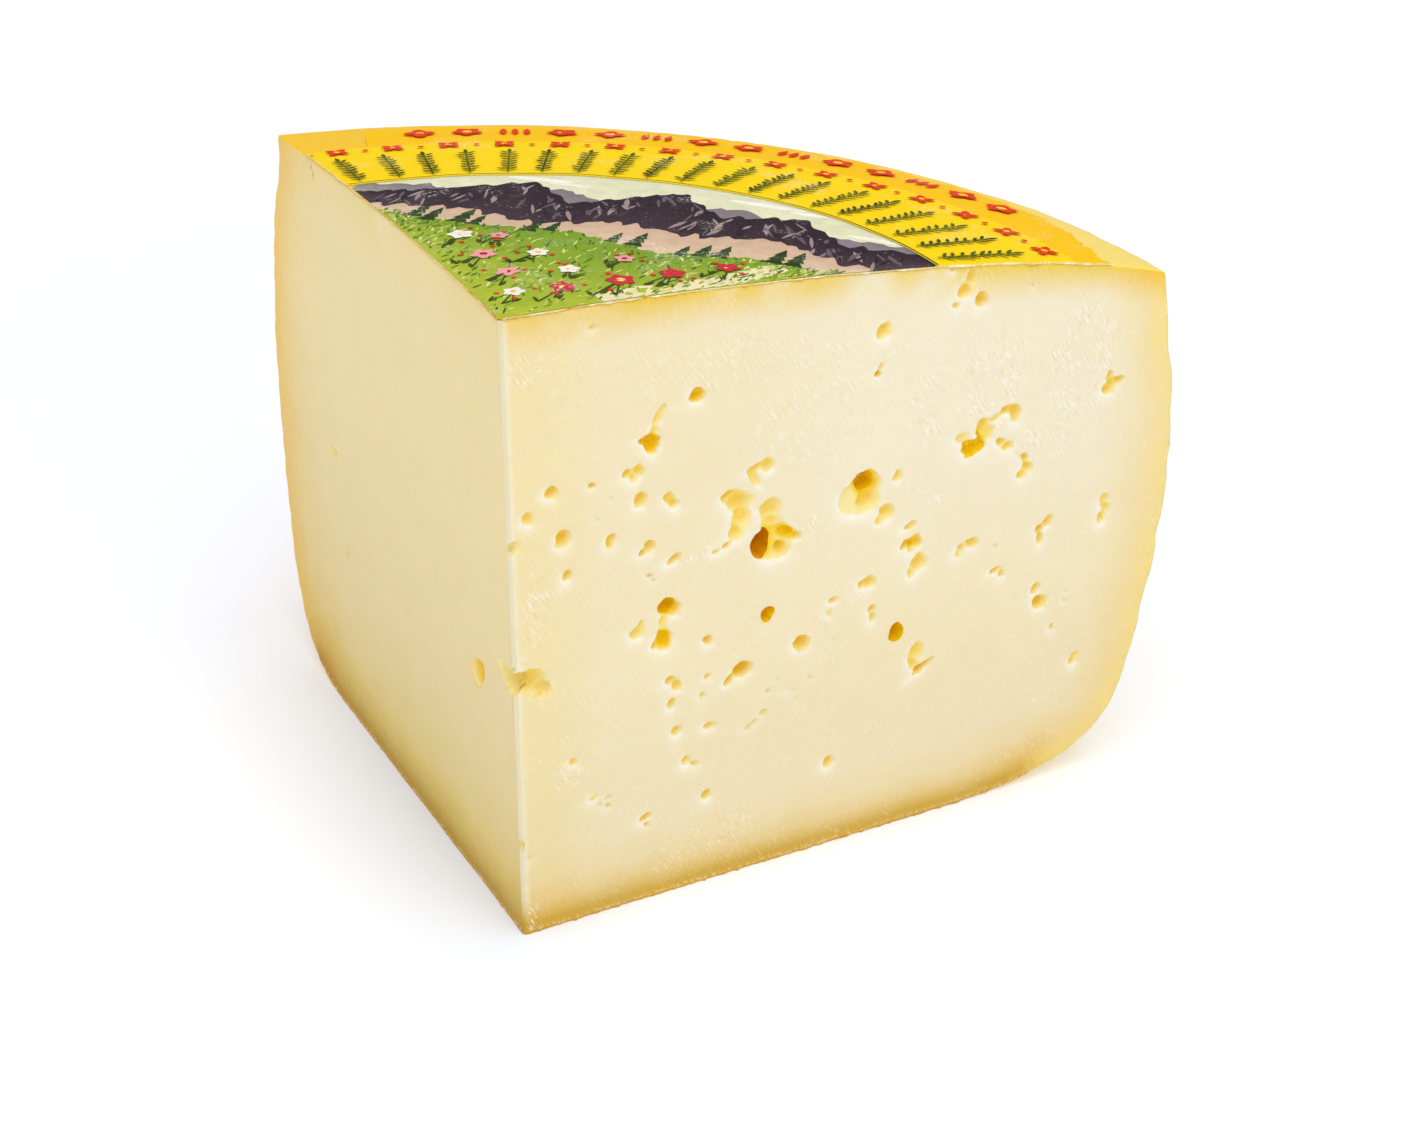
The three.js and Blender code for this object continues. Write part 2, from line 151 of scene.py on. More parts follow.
# Deep hollows with steep walls, on their own or in the eyes above.
FIRST_CUT_CORES = [
    (83.2, 92.6, 4.5, 5.4, 5.4), (57.9, 83.6, 5.6, 7, 7), (35.6, 73.8, 4.2, 4.6, 4.2, 15),
    (35, 65.8, 3, 3.2, 2.8), (59.8, 65.9, 3.3, 3.7, 3.4, -10), (92.9, 52.8, 3.9, 5.3, 4.2, -10),
    (110.8, 98, 1.7, 2.5, 2.6, 20), (109.6, 95.4, 6, 2.2, 2.8, 25), (32.3, 112.7, 3, 3.6, 2.6),
    (64.2, 85.1, 3.4, 2.4, 2.8, -35), (95.4, 75.2, 1.8, 1.8, 2.2), (41.7, 121.5, 1.6, 2, 2.4),
]
SECOND_CUT_EYES = [
    (115.5, 69, 4, 2.4, 1.6), (106.5, 44.5, 2.6, 2.4, 1.6), (21.4, 55.8, 6.6, 6.8, 5, 10),
    (18.6, 57.8, 2.8, 3.6, 3), (21.5, 99, 1, 1, 0.5), (20.5, 117, 1, 1, 0.5),
]
SECOND_CUT_CORES = [(21, 56, 2, 3.4, 4.4, 10)]
# Brown stains on the second cut: (distance from the axis, height, width, tall, strength, lean).
STAINS = [(126.4, 137.6, 2.2, 1.3, 0.8), (125.2, 136.4, 1.4, 1.6, 1, 30), (130, 137.8, 1.6, 1.2, 0.4)]
EYE_SHADED_SIDES = (135, -40)  # degrees from the right on each cut, where an eye's wall gets the most painted shade, a darker gold
EYES = (
    (FIRST_CUT_EYES, FIRST_CUT_CORES, EYE_SHADED_SIDES[0]),
    (SECOND_CUT_EYES, SECOND_CUT_CORES, EYE_SHADED_SIDES[1]),
)
EYE_MERGE = 4  # the higher, the less neighbouring eyes run into each other
EYE_WALL = 2.2  # the higher, the flatter an eye's floor
CORE_WALL = 5.0
EYE_STEEP, EYE_GENTLE = 0.32, 1.3  # how the wall meets the lip on the steep side and opposite
EYE_STEEP_SIDE = 135  # degrees from the right, where the wall is steepest
EYE_DEPTH = 0.75  # share of the listed depth, which sets the colour, that the hollow has
EYE_RAGGED = 0.18  # millimetres that an outline wanders
SNAP_REACH = 0.22  # corners of the mesh this near a lip are moved onto it
LIP_WIDTH = 0.8
LIP_DEPTH = 0.2
PITTING = 0.06  # unevenness of an eye's wall, as a share of its depth
KNIFE_WAVE = 0.22  # millimetres, as are the next ones
CURD_GRAIN = 0.1
GRAIN_PLACE, GRAIN_REACH = (107, 116), (16, 8)  # the one part of a cut that has it
FOOT_CRUMBS = (0.3, 0.12)  # at the first and the second cut
RIND_SWELL, RIND_DENT = 0.45, 0.22
FAR = 1e3  # the distance noted for what isn't near
ROUND_LENGTH = 200  # millimetres that the way round the wedge counts for in patterns
LIP_HIGHLIGHT_SIDE = 230  # degrees from the right, where an eye's lip has its painted highlight, a pale rim
LIP_HIGHLIGHT_WIDTH = 0.9

# White crumbs and smears left by the knife: (distance from the axis, height, width, tall, strength, lean).
SMEARS = [
    (5, 77, 7, 26, 1, -12), (5, 135, 9, 6, 0.8), (3.5, 132, 8, 3, 1, -20), (12, 38, 9, 7, 0.7, 20),
    (1.5, 6, 3.5, 13, 1), (43.5, 85, 13, 1.6, 1, 22), (67, 84.6, 15, 2, 1, 25),
    (99, 86.5, 13, 3.2, 0.8, -25), (76, 52, 12, 2, 0.8, 35), (83, 66.5, 8, 8, 0.7),
    (127, 94, 26, 10, 0.8, -10), (117, 101, 8, 5, 1), (98, 110, 12, 22, 1), (112, 112, 22, 22, 1),
    (136, 112, 24, 34, 0.9), (70, 112, 40, 26, 0.45, -10), (60, 126, 80, 14, 0.45, -4),
    (46, 12, 40, 10, 0.3, 12),
]

# Hollows that break through the front edge: (sideways, inwards, height, half width, half depth, half tall).
NOTCH_REACH = 24
NOTCH_PAINTED_SHADE = 0.35  # how much painted shade, a darker gold, a notch gets for its depth
FRONT_NOTCHES = [
    (-1.9, 0.5, 64.2, 4.4, 4.8, 3.1), (3, 3.4, 63.7, 3.2, 2.6, 3), (4.3, 5.2, 61.3, 1.8, 1.7, 1.9),
    (-4.9, 3.6, 65, 3, 2.4, 2.2), (1.6, 1, 95.7, 2, 1.4, 1.7), (0, 0.4, 23.5, 0.8, 1, 1.2),
    (1.5, 1, 20.5, 0.7, 0.9, 0.9),
]

# ---- How finely the cheese is meshed, in millimetres ----
GRID_STEPS = (36, 36, 32)  # first cells round the wedge, outwards and upwards
REFINE_ROUNDS = 12
LONGEST_ROUNDS = 6  # how far the splitting of longest edges spreads in a round
EDGE_SLACK = 1.5  # edges are split when longer than this many times what is wanted
FINEST_EDGE = 0.3  # before the relief is added
COARSE_EDGE = 3.0
HIDDEN_EDGE = 9.0  # on the base and under the label
BORDER_EDGE = 0.9  # along the outline of the cuts
BORDER_WIDTH = 2.5
EYE_EDGE = 0.52
EYE_EDGE_GROWTH = 0.7  # how fast the edges grow away from an eye

# ---- The label ----
LABEL_RADIUS = 148.0
LABEL_WORN_RADIUS = 140.0  # at the first cut, where its edge has worn off
LABEL_WORN_SHARE = 0.17
LABEL_INNER_RADIUS = 131.0  # where the outer band is missing, beside the second cut
LABEL_RING_END = 0.915
LABEL_RING_STEP = 0.012
LABEL_THICKNESS = 0.32
LABEL_GAP = 0.06
LABEL_CELL = 1.3
LABEL_INSET = 0.3  # from the cheese's rounded front edge
CREASE_DEPTH = 0.05
PICTURE_RADIUS = 97.0
RAY_RADII = (99.5, 121.5)
BEAD_RADIUS = 127.5
BAND_RADIUS = 141.5
RING_START = 45  # degrees from the right at which the first cut lies

# ---- The print: colours as the ink shows on the paper, red, green and blue from 0 to 255 ----
RAYS = 19
BEADS = 15
ROSETTES = 19
RAY_GREENS = [(78, 92, 20), (60, 74, 20), (92, 100, 18)]
RED = (232, 62, 26)
BAND_YELLOW = (252, 214, 40)
FRAME_GREEN = (64, 84, 40)
SKY_LOW, SKY_HIGH = (246, 236, 196), (226, 226, 190)
CLOUD = (250, 246, 226)
FAR_FOOT, FAR_TOP = (178, 170, 150), (132, 122, 128)
CRAG_FOOT, CRAG_TOP = (84, 66, 74), (48, 34, 44)
CRAG_LIGHT, CRAG_GREY = (160, 140, 140), (104, 90, 98)
SCREE, SCREE_TOP = (230, 206, 172), (210, 176, 150)
PATH = (238, 226, 178)
MEADOW_NEAR, MEADOW_FAR = (176, 190, 56), (122, 156, 44)
GRASS = [(92, 130, 36), (196, 206, 92), (126, 160, 44), (222, 220, 130), (70, 104, 40)]
FIR_GREENS = [(42, 64, 30), (58, 82, 34)]
STEM = (66, 78, 34)
FLOWER_COLOURS = [
    ((248, 236, 226), (236, 190, 60)), ((206, 52, 62), (248, 220, 120)), ((238, 160, 160), (160, 40, 50)),
]
CRAG_GULLIES = 130
CREST = [(-70, 62), (-46, 74), (-30, 86), (-16, 72), (4, 90), (18, 76), (34, 84), (48, 70), (70, 76)]
# Skylines: (sideways, away from the front edge).
FAR_CREST = [(-70, 70), (-52, 76), (-40, 70), (-22, 82), (-5, 74), (20, 84), (40, 74), (70, 78)]
SCREE_CREST = [(-60, 57), (-34, 60), (-18, 55), (0, 63), (16, 60), (34, 66), (52, 58), (70, 62)]
SLOPE_CREST = [(-60, 54), (-30, 50), (-8, 53), (14, 47), (36, 53), (60, 49)]
CLOUDS = [
    (-30, 88, 16, 3), (-22, 86, 10, 2.4), (24, 90, 18, 3), (34, 88, 9, 2.2), (52, 78, 12, 2.4),
    (-52, 74, 12, 2.4),
]
GRASS_STROKES = 700
FIR_PLACES = [-44, -40, -33, -29, -16, -12, 3, 8, 19, 23, 27, 38, 42]
FLOWERS = [
    (-3, 14, 5), (5, 20, 6), (-9, 24, 5.5), (2, 30, 5), (14, 28, 6.5), (-18, 32, 6), (-8, 37, 5),
    (22, 36, 6), (10, 40, 4.5), (-28, 42, 6), (31, 44, 5.5), (-20, 44, 4.5),
]
SHARP_ANGLE = 55

# ---- Colours of cheese and paper, red, green and blue from 0 to 255 ----
FIRST_FOOT_STOPS = [
    (0, (218, 180, 70)), (1.2, (216, 176, 66)), (2.6, (216, 176, 70)), (4.5, (226, 193, 108)),
    (7.5, (237, 211, 148)), (12, (242, 223, 176)), (20, (243, 228, 189)), (34, (244, 229, 188)),
    (60, (247, 232, 192)),
]
SECOND_FOOT_STOPS = [
    (0, (190, 146, 30)), (2.5, (192, 150, 34)), (5, (205, 171, 66)), (8.5, (218, 189, 96)),
    (14, (228, 204, 125)), (20, (232, 209, 142)), (35, (236, 215, 156)), (60, (240, 220, 164)),
    (100, (246, 226, 168)),
]
PALE_PASTE = (249, 239, 212)  # of the first cut, up and towards the rim
KNIFE_TURN = -60  # degrees from the right of the knife's lines on a cut
FOOT_CRUMB = (240, 222, 168)
RIM_REACH, RIM_TINT = 22, (255, 239, 185)
RIM_GLOW = (255, 230, 138)
TOP_REACH, TOP_TINT = 8.5, (250, 224, 88)
NEAR_FRONT_TINT = (255, 252, 236)
STAIN = (196, 128, 30)
SECOND_CUT_SPREAD = 0.42  # how much wider the bands at rim and top are on the second cut
SECOND_RIM_TINT = (255, 244, 206)
MOTTLE_TINT = (250, 248, 240)
BASE_CRUST = (214, 158, 50)
FLECK = (254, 249, 234)
SHADE_TINT = (251, 242, 218)
# Painted highlights: along the rounded front edge and on the eyes' lips
FRONT_EDGE_HIGHLIGHT = (246, 238, 210)
LIP_HIGHLIGHT = (255, 250, 234)
# Painted light in the eyes: a yellow glow of light through the paste, turning to painted shade, a darker
# gold, deeper in, on the steep side and in the cores
EYE_PAINTED_GLOW = (252, 234, 162)
EYE_WALL_GLOW_AND_SHADE = (255, 220, 98)
EYE_GOLD_PAINTED_SHADE = (255, 216, 18)
EYE_DEEP_PAINTED_SHADE = (236, 172, 0)
RIND_DEEP, RIND_PALE = (255, 200, 0), (255, 222, 108)
RIND_BLOOM = (254, 226, 116)
LABEL_YELLOW, LABEL_YELLOW_PALE = (255, 213, 0), (255, 222, 16)
BAND_ORANGE = (255, 200, 8)
PAPER_WHITE = (252, 248, 232)
PAPER_EDGE = (238, 214, 130)  # of the cut edge

# ---- Camera, floor and light ----
CAMERA_AZIMUTH = 18.78
CAMERA_PITCH = 27.66
CAMERA_LENS = 61.6
CAMERA_SENSOR = 36
FOOT_IN_VIEW = (-39.03, -82.48, 527.84)  # sideways, up and in front of the camera
FLOOR_SIZE = 6.0
FLOOR_COLOUR = (0.80, 0.845, 0.95, 1)
FLOOR_GLOW_COLOUR = (1, 0.95, 0.89, 1)
FLOOR_GLOW_NEAR, FLOOR_GLOW_FAR = 0.25, 0.43  # makes it a white light table, brightest away from the cheese
FLOOR_GLOW_REACH = (0.2, 0.9)  # metres
FLOOR_SHADE_PLACE = (-0.042, -0.041, 0)  # a painted shadow: where the light table glows least, along the foot of the second cut
FLOOR_SHADE_TURN, FLOOR_SHADE_STRETCH = 135, 3.4
FLOOR_SHADE_REACH = (0.045, -0.005)
FLOOR_SHADE = 0.6
WORLD_STRENGTH = 0.6
# (name, azimuth, elevation, distance, size, power)
LIGHTS = [("softbox", 35, 67, 1.4, 1.3, 10.5), ("fill", -60, 30, 1.6, 1.2, 1)]


def mix(a, b, share):
    return a + (b - a) * share


def smooth(low, high, value):
    share = np.clip((value - low) / (high - low), 0, 1)
    return share * share * (3 - 2 * share)


class Wobble:
    """Smooth random relief between about -1 and 1: a sum of sine waves in random directions."""

    WAVES = 14

    def __init__(self, wavelength, seed, axes=3):
        random = np.random.default_rng(seed)
        directions = random.normal(size=(self.WAVES, axes))
        directions /= np.linalg.norm(directions, axis=1)[:, None]
        lengths = wavelength * random.uniform(0.6, 1.6, self.WAVES)
        self.waves = directions * (2 * math.pi / lengths)[:, None]
        self.phases = random.uniform(0, 2 * math.pi, self.WAVES)

    def __call__(self, *places):
        places = np.stack(places, axis=-1)
        return np.sin(places @ self.waves.T + self.phases).sum(axis=-1) / math.sqrt(self.WAVES)


# ---- The wheel's shape ----
def spline_table(points, samples=600):
    """A Catmull-Rom curve through the points, as places at even shares of its length."""
    points = np.array(points, float)
    padded = np.vstack([points[:1], points, points[-1:]])
    where = np.linspace(0, len(points) - 1, samples)
    first = np.minimum(where.astype(int), len(points) - 2)
    t = (where - first)[:, None]
    a, b, c, d = (padded[first + k] for k in range(4))
    start, end = (c - a) / 2, (d - b) / 2
    curve = (2 * b - 2 * c + start + end) * t**3 + (3 * c - 3 * b - 2 * start - end) * t**2 + start * t + b
    length = np.concatenate([[0], np.cumsum(np.linalg.norm(np.diff(curve, axis=0), axis=1))])
    shares = np.linspace(0, length[-1], samples)
    return np.stack([np.interp(shares, length, curve[:, k]) for k in range(2)], axis=1)


def dome_height(radius, round_):
    share = np.asarray(radius) / SHOULDER_RADIUS
    dome = mix(*DOME_FALL, round_) * share**2
    return WHEEL_HEIGHT - dome - mix(*SHOULDER_FALL, round_) * share**SHOULDER_POWER


RIM_TABLES = [
    spline_table(points + [(SHOULDER_RADIUS, dome_height(SHOULDER_RADIUS, round_))])
    for round_, points in enumerate((FIRST_RIM, SECOND_RIM))
]


def rim_point(round_, up):
    """Radius and height of the rim at a share of the way round and of the way up."""
    shares = np.linspace(0, 1, len(RIM_TABLES[0]))
    at_cuts = [[np.interp(up, shares, table[:, k]) for k in range(2)] for table in RIM_TABLES]
    return [mix(at_cuts[0][k], at_cuts[1][k], round_) for k in range(2)]


def section_point(round_, out, up):
    """Radius and height inside the wheel's section, blended from base, top, axis and rim."""
    rim_radius, rim_height = rim_point(round_, up)
    radius = FRONT_EDGE_RADIUS + out * (rim_radius - FRONT_EDGE_RADIUS)
    shoulder = dome_height(SHOULDER_RADIUS, round_)
    height = up * dome_height(out * SHOULDER_RADIUS, round_) + mix(up * WHEEL_HEIGHT, rim_height, out)
    return radius, height - up * mix(WHEEL_HEIGHT, shoulder, out)


def turned(x, y, height):
    """Turns a place in the wheel by the knife's twist at its height."""
    twist = np.radians(CUT_TWIST * (height / WHEEL_HEIGHT - 0.5))
    cosine, sine = np.cos(twist), np.sin(twist)
    return np.stack([x * cosine - y * sine, x * sine + y * cosine, height], axis=-1)


def wheel_point(round_, radius, height):
    """A place in the wheel. Close to the axis the two cuts meet in a round edge."""
    angle = np.radians(90 + WEDGE_ANGLE * (round_ - 0.5))
    edge_angle = np.radians(-45 - 90 * round_)
    beyond = radius - FRONT_EDGE_RADIUS
    edge_x = FRONT_EDGE_RADIUS * np.cos(edge_angle) + beyond * np.cos(angle)
    edge_y = FRONT_EDGE_RADIUS * (math.sqrt(2) + np.sin(edge_angle)) + beyond * np.sin(angle)
    near = np.exp(-np.maximum(beyond, 0) / (2 * FRONT_EDGE_RADIUS))
    x = mix(radius * np.cos(angle), edge_x, near)
    y = mix(radius * np.sin(angle), edge_y, near)
    return turned(x, y, height)


def cut_normal(cut, height):
    """The direction out of the cheese, square to a cut."""
    side = 1 if cut == 0 else -1
    level = np.zeros_like(height)
    normal = turned(level + side * math.sqrt(0.5), level - math.sqrt(0.5), height)
    normal[..., 2] = 0
    return normal


# ---- Relief of the cheese ----
wander = Wobble(3.2, 1, axes=2)
pitted = Wobble(1.3, 2)
knife_wave = Wobble(38, 3, axes=2)
curd = Wobble(3.4, 4, axes=2)
ragged = Wobble(1.7, 5)
rind_swell = Wobble(42, 6)
rind_dent = Wobble(11, 7)


def inside_ellipse(radius, height, ellipse):
    """How far out places are in a leaning ellipse, 0 at its middle and 1 on it, and which way."""
    middle_radius, middle_height, width, tall = ellipse[:4]
    lean = math.radians(sum(ellipse[5:]))
    right, rise = radius - middle_radius, height - middle_height
    across = (right * math.cos(lean) + rise * math.sin(lean)) / (width / 2)
    along = (rise * math.cos(lean) - right * math.sin(lean)) / (tall / 2)
    return np.hypot(across, along), np.stack([right, rise]) / math.sqrt(width * tall)


def towards(side, right, rise):
    """How far a way points to a side, in degrees from the right."""
    return right * math.cos(math.radians(side)) + rise * math.sin(math.radians(side))


def merged_eyes(radius, height, eyes):
    """How far out places are in eyes that run into each other, with their depth, size and which way."""
    total, sums = np.zeros_like(radius), np.zeros((4, *radius.shape))
    wandering = EYE_RAGGED * wander(radius, height)
    for eye in eyes:
        size = math.sqrt(eye[2] * eye[3]) / 2
        out, way = inside_ellipse(radius, height, eye)
        weight = np.maximum(out + wandering / size, 0.01)**-EYE_MERGE
        total += weight
        sums += weight * np.stack([np.full_like(out, eye[4]), np.full_like(out, size), *way])
    return total**(-1 / EYE_MERGE), *(sums / total)


LIPS = (1, 2)  # which of the results of eye_relief are distances to a lip


def eye_relief(radius, height, eyes, cores, shaded_side):
    """At places on a cut: depth of eyes, distance to their lips and to those of cores, the painted highlight
    on a lip, depth of cores and the painted glow and shade that make the wall gold."""
    out, deep, size, right, rise = merged_eyes(radius, height, eyes)
    steepness = mix(EYE_GENTLE, EYE_STEEP, smooth(-0.5, 0.6, towards(EYE_STEEP_SIDE, right, rise)))
    depth = deep * np.clip(1 - out**EYE_WALL, 0, 1)**steepness
    # how much painted glow and shade colour the wall: more where deeper and on the shaded side, less in big
    # eyes
    eye_glow_and_shade = depth * mix(1.4, 3.2, smooth(-0.7, 0.6, towards(shaded_side, right, rise))) / (1 + size)
    lip = (out - 1) * size
    # painted highlight: a pale rim on the side of the lip that faces the light
    halo = np.exp(-np.maximum(lip, 0) / LIP_HIGHLIGHT_WIDTH) * smooth(0.2, 1.3, size)
    halo *= smooth(-0.3, 0.5, towards(LIP_HIGHLIGHT_SIDE, right, rise) + 0.2 * wander(radius, height))
    core_out, core_deep, core_size, _, _ = merged_eyes(radius, height, cores)
    depth = np.maximum(depth * EYE_DEPTH, core_deep * np.clip(1 - core_out**CORE_WALL, 0, 1)**0.5)
    core_lip = (core_out - 1) * core_size
    return depth, np.minimum(lip, core_lip), core_lip, halo, core_deep, eye_glow_and_shade


def snapped(radius, height, which, eyes):
    """The places on a cut, with those close to a lip moved onto it, so that lips are smooth lines."""
    distance = eye_relief(radius, height, *eyes)[which]
    near = np.abs(distance) < SNAP_REACH
    r, z = radius[near], height[near]
    step = 0.02
    slope_out = (eye_relief(r + step, z, *eyes)[which] - distance[near]) / step
    slope_up = (eye_relief(r, z + step, *eyes)[which] - distance[near]) / step
    steepness = np.maximum(slope_out**2 + slope_up**2, 0.25)
    radius, height = radius.copy(), height.copy()
    radius[near] -= distance[near] * slope_out / steepness
    height[near] -= distance[near] * slope_up / steepness
    return radius, height


def covered(radius, height, areas):
    """How much leaning ellipses with soft edges cover places on a cut."""
    cover = np.zeros_like(radius)
    for area in areas:
        out, _ = inside_ellipse(radius, height, area)
        cover = np.maximum(cover, area[4] * smooth(1.2, 0.5, out))
    return cover


def nearest(radius, height, outline, chunk=20000):
    """Distance from places in a section to an outline given as close points, a chunk of places at a time."""
    result = np.empty_like(radius)
    for start in range(0, len(radius), chunk):
        part = slice(start, start + chunk)
        gaps = np.hypot(radius[part, None] - outline[:, 0], height[part, None] - outline[:, 1])
        result[part] = gaps.min(axis=1)
    return result


def border_distances(cut, radius, height):
    """Distances on a cut to the base, the rim and the top."""
    table = RIM_TABLES[cut][::4]
    flat = np.stack([np.linspace(0, BASE_RADIUS, 150), np.zeros(150)], axis=1)
    low = table[:, 1] < FOOT_TALL
    base = nearest(radius, height, np.vstack([flat, table[low]]))
    rim = nearest(radius, height, table[~low])
    return base, rim, np.abs(dome_height(radius, float(cut)) - height)


def rounding(distance):
    """How far a surface draws back at a distance from its rounded edge."""
    share = np.clip(distance / EDGE_ROUNDING, 0, 1)
    return EDGE_ROUNDING * (1 - np.sin(math.pi / 4 * (1 + share)))


def distance_to_cuts(round_, radius):
    """Distance round the wheel to the nearer cut."""
    return np.minimum(round_, 1 - round_) * math.pi / 2 * radius


def rim_offset(round_, up, to_cut, places):
    """How far the rind stands out: its swells, dents and steps, less the rounding of its edges."""
    step = 0.004
    low = rim_point(round_, np.clip(up - step, 0, 1))
    high = rim_point(round_, np.clip(up + step, 0, 1))
    slope_out, slope_up = high[0] - low[0], high[1] - low[1]
    length = np.hypot(slope_out, slope_up)
    edge = np.minimum(to_cut, TOP_EDGE_SPREAD * (1 - up))
    swell = RIND_SWELL * rind_swell(*places.T) + RIND_DENT * rind_dent(*places.T)
    swell = swell * smooth(0, 0.15, up) - rounding(edge)
    for cut, steps in enumerate((FIRST_RIM_STEPS, SECOND_RIM_STEPS)):
        swell += np.interp(places[:, 2], *zip(*steps)) * smooth(RIM_STEP_REACH, 0, np.abs(round_ - cut))
    flat = np.linalg.norm(places[:, :2], axis=1)
    outwards = places[:, :2] / flat[:, None] * (slope_up / length)[:, None]
    return np.column_stack([outwards, -slope_out / length]) * swell[:, None]


BORDERS = ("to_base", "to_rim", "to_top")
MARKS = ("eye", "eye_glow_and_shade", "core", "halo", "smear", "stain")


class Relief:
    """The cheese's surface at places in its block, (round, out, up), each on a side of the block."""

    def __init__(self, block):
        round_, out, up = block.T
        radius, height = section_point(round_, out, up)
        for cut, eyes in enumerate(EYES):
            inside = (round_ == cut) & (out > 0) & (out < 1) & (up > 0) & (up < 1)
            for which in LIPS:
                radius[inside], height[inside] = snapped(radius[inside], height[inside], which, eyes)
        self.round, self.up, self.radius, self.height = round_, up, radius, height
        self.flat = wheel_point(round_, radius, height)
        self.to_cut = distance_to_cuts(round_, radius)
        self.values = {name: np.zeros(len(block)) for name in MARKS}
        self.values.update({name: np.full(len(block), FAR) for name in ("core_lip", *BORDERS)})
        self.lip = np.full(len(block), FAR)
        self.offset = np.zeros((len(block), 3))
        for cut, eyes in enumerate(EYES):
            self.carve(cut, eyes)
        on_edge = out == 0
        for name, distance in (("to_base", height), ("to_top", WHEEL_HEIGHT - height)):
            self.values[name][on_edge] = np.minimum(self.values[name][on_edge], distance[on_edge])
        on_rim = out == 1
        self.offset[on_rim] += rim_offset(round_[on_rim], up[on_rim], self.to_cut[on_rim], self.flat[on_rim])
        on_top = up == 1
        edge = np.minimum(self.to_cut[on_top], SHOULDER_RADIUS * (1 - out[on_top]))
        self.offset[on_top, 2] -= rounding(edge)
        self.places = self.flat + self.offset
        self.cut_notches()

    def carve(self, cut, eyes):
        """Opens the eyes of a cut and gives it the knife's waves, the curd's grain and the crumbly foot."""
        on_cut = self.round == cut
        r, z = self.radius[on_cut], self.height[on_cut]
        depth, lip, core_lip, halo, core, eye_glow_and_shade = eye_relief(r, z, *eyes)
        depth = depth * smooth(FRONT_EDGE_RADIUS, 3 * FRONT_EDGE_RADIUS, r)
        borders = border_distances(cut, r, z)
        edge = np.minimum.reduce(borders)
        grainy = smooth(*GRAIN_REACH, np.hypot(r - GRAIN_PLACE[0], (z - GRAIN_PLACE[1]) / 1.2))
        inward = depth * (1 + PITTING * pitted(r, z, depth)) + rounding(edge)
        inward += LIP_DEPTH * np.exp(-np.maximum(lip, 0) / LIP_WIDTH)
        inward += KNIFE_WAVE * knife_wave(r, z) * smooth(0, 12, edge)
        inward += CURD_GRAIN * curd(r, z) * smooth(2, 6, edge) * grainy
        inward -= mix(*FOOT_CRUMBS, cut) * smooth(1.6, 0.2, borders[0]) * np.maximum(ragged(r, z, z), 0)
        self.offset[on_cut] -= cut_normal(cut, z) * inward[:, None]
        self.lip[on_cut] = np.minimum(np.abs(lip), np.abs(core_lip))
        # the eyes' painted glow and shade is kept with the other marks
        found = {"eye": depth, "eye_glow_and_shade": eye_glow_and_shade, "core": core, "core_lip": core_lip}
        found.update(zip(BORDERS, borders))
        if cut == 0:
            # the painted highlight on the eyes' lips is only on the first cut
            found.update(halo=halo, smear=covered(r, z, SMEARS))
        else:
            found.update(stain=covered(r, z, STAINS))
        for name, values in found.items():
            self.values[name][on_cut] = values

    def cut_notches(self):
        """Pushes places in the front notches back to their far walls."""
        pushed = np.zeros(len(self.places))
        self.notch_distance = np.full(len(self.places), FAR)
        near = np.flatnonzero(self.radius < NOTCH_REACH)
        for side, inward, up, half_width, half_depth, half_tall in FRONT_NOTCHES:
            x, y, z = self.places[near].T
            uneven = 1 + 0.1 * pitted(x, z, z)
            out = np.hypot((x - side) / half_width, (z - up) / half_tall) * uneven
            wall = inward + half_depth * np.sqrt(np.clip(1 - out**2, 0, 1))
            push = np.where(out < 1, np.maximum(wall - y, 0), 0)
            self.places[near, 1] += push
            pushed[near] += push
            distance = np.maximum((out - 1) * min(half_width, half_tall), self.radius[near] - 3 * half_width)
            self.notch_distance[near] = np.minimum(self.notch_distance[near], distance)
        self.values["eye"] += pushed
        # deeper notches get more painted shade, a darker gold
        self.values["eye_glow_and_shade"] += NOTCH_PAINTED_SHADE * pushed

    def wanted_edge(self):
        """The edge length that the mesh needs at each place."""
        under_label = (self.up == 1) & (self.radius < LABEL_INNER_RADIUS - 4)
        wanted = np.where((self.up == 0) | under_label, HIDDEN_EDGE, COARSE_EDGE)
        wanted = np.minimum(wanted, EYE_EDGE + EYE_EDGE_GROWTH * np.maximum(self.lip - LIP_WIDTH, 0))
        on_cut = (self.round == 0) | (self.round == 1)
        border = np.where(on_cut, np.minimum.reduce([self.values[name] for name in BORDERS]), self.to_cut)
        near_border = BORDER_EDGE + 0.5 * np.maximum(border - BORDER_WIDTH, 0)
        wanted = np.minimum(wanted, near_border)
        return np.minimum(wanted, EYE_EDGE + EYE_EDGE_GROWTH * np.maximum(self.notch_distance, 0))


# ---- The cheese's mesh ----
def block_surface(steps):
    """The six sides of a block as one closed mesh: its corners, its triangles and each one's side."""
    sides = []
    for axis in range(3):
        first, second = (k for k in range(3) if k != axis)
        for end in (0, 1):
            grid = np.zeros((steps[first] + 1, steps[second] + 1, 3), int)
            grid[..., axis] = end * steps[axis]
            grid[..., first], grid[..., second] = np.indices(grid.shape[:2])
            a, b, c, d = grid[:-1, :-1], grid[1:, :-1], grid[1:, 1:], grid[:-1, 1:]
            quads = np.stack([a, b, c, d], axis=2).reshape(-1, 4, 3)
            if (end == 1) == (axis != 1):
                quads = quads[:, ::-1]
            sides.append(quads)
    quads = np.concatenate(sides)
    side = np.repeat(np.arange(6), [len(s) for s in sides])
    corners, index = np.unique(quads.reshape(-1, 3), axis=0, return_inverse=True)
    index = index.reshape(-1, 4)
    triangles = np.concatenate([index[:, [0, 1, 2]], index[:, [0, 2, 3]]])
    return corners / np.array(steps), triangles, np.concatenate([side, side])


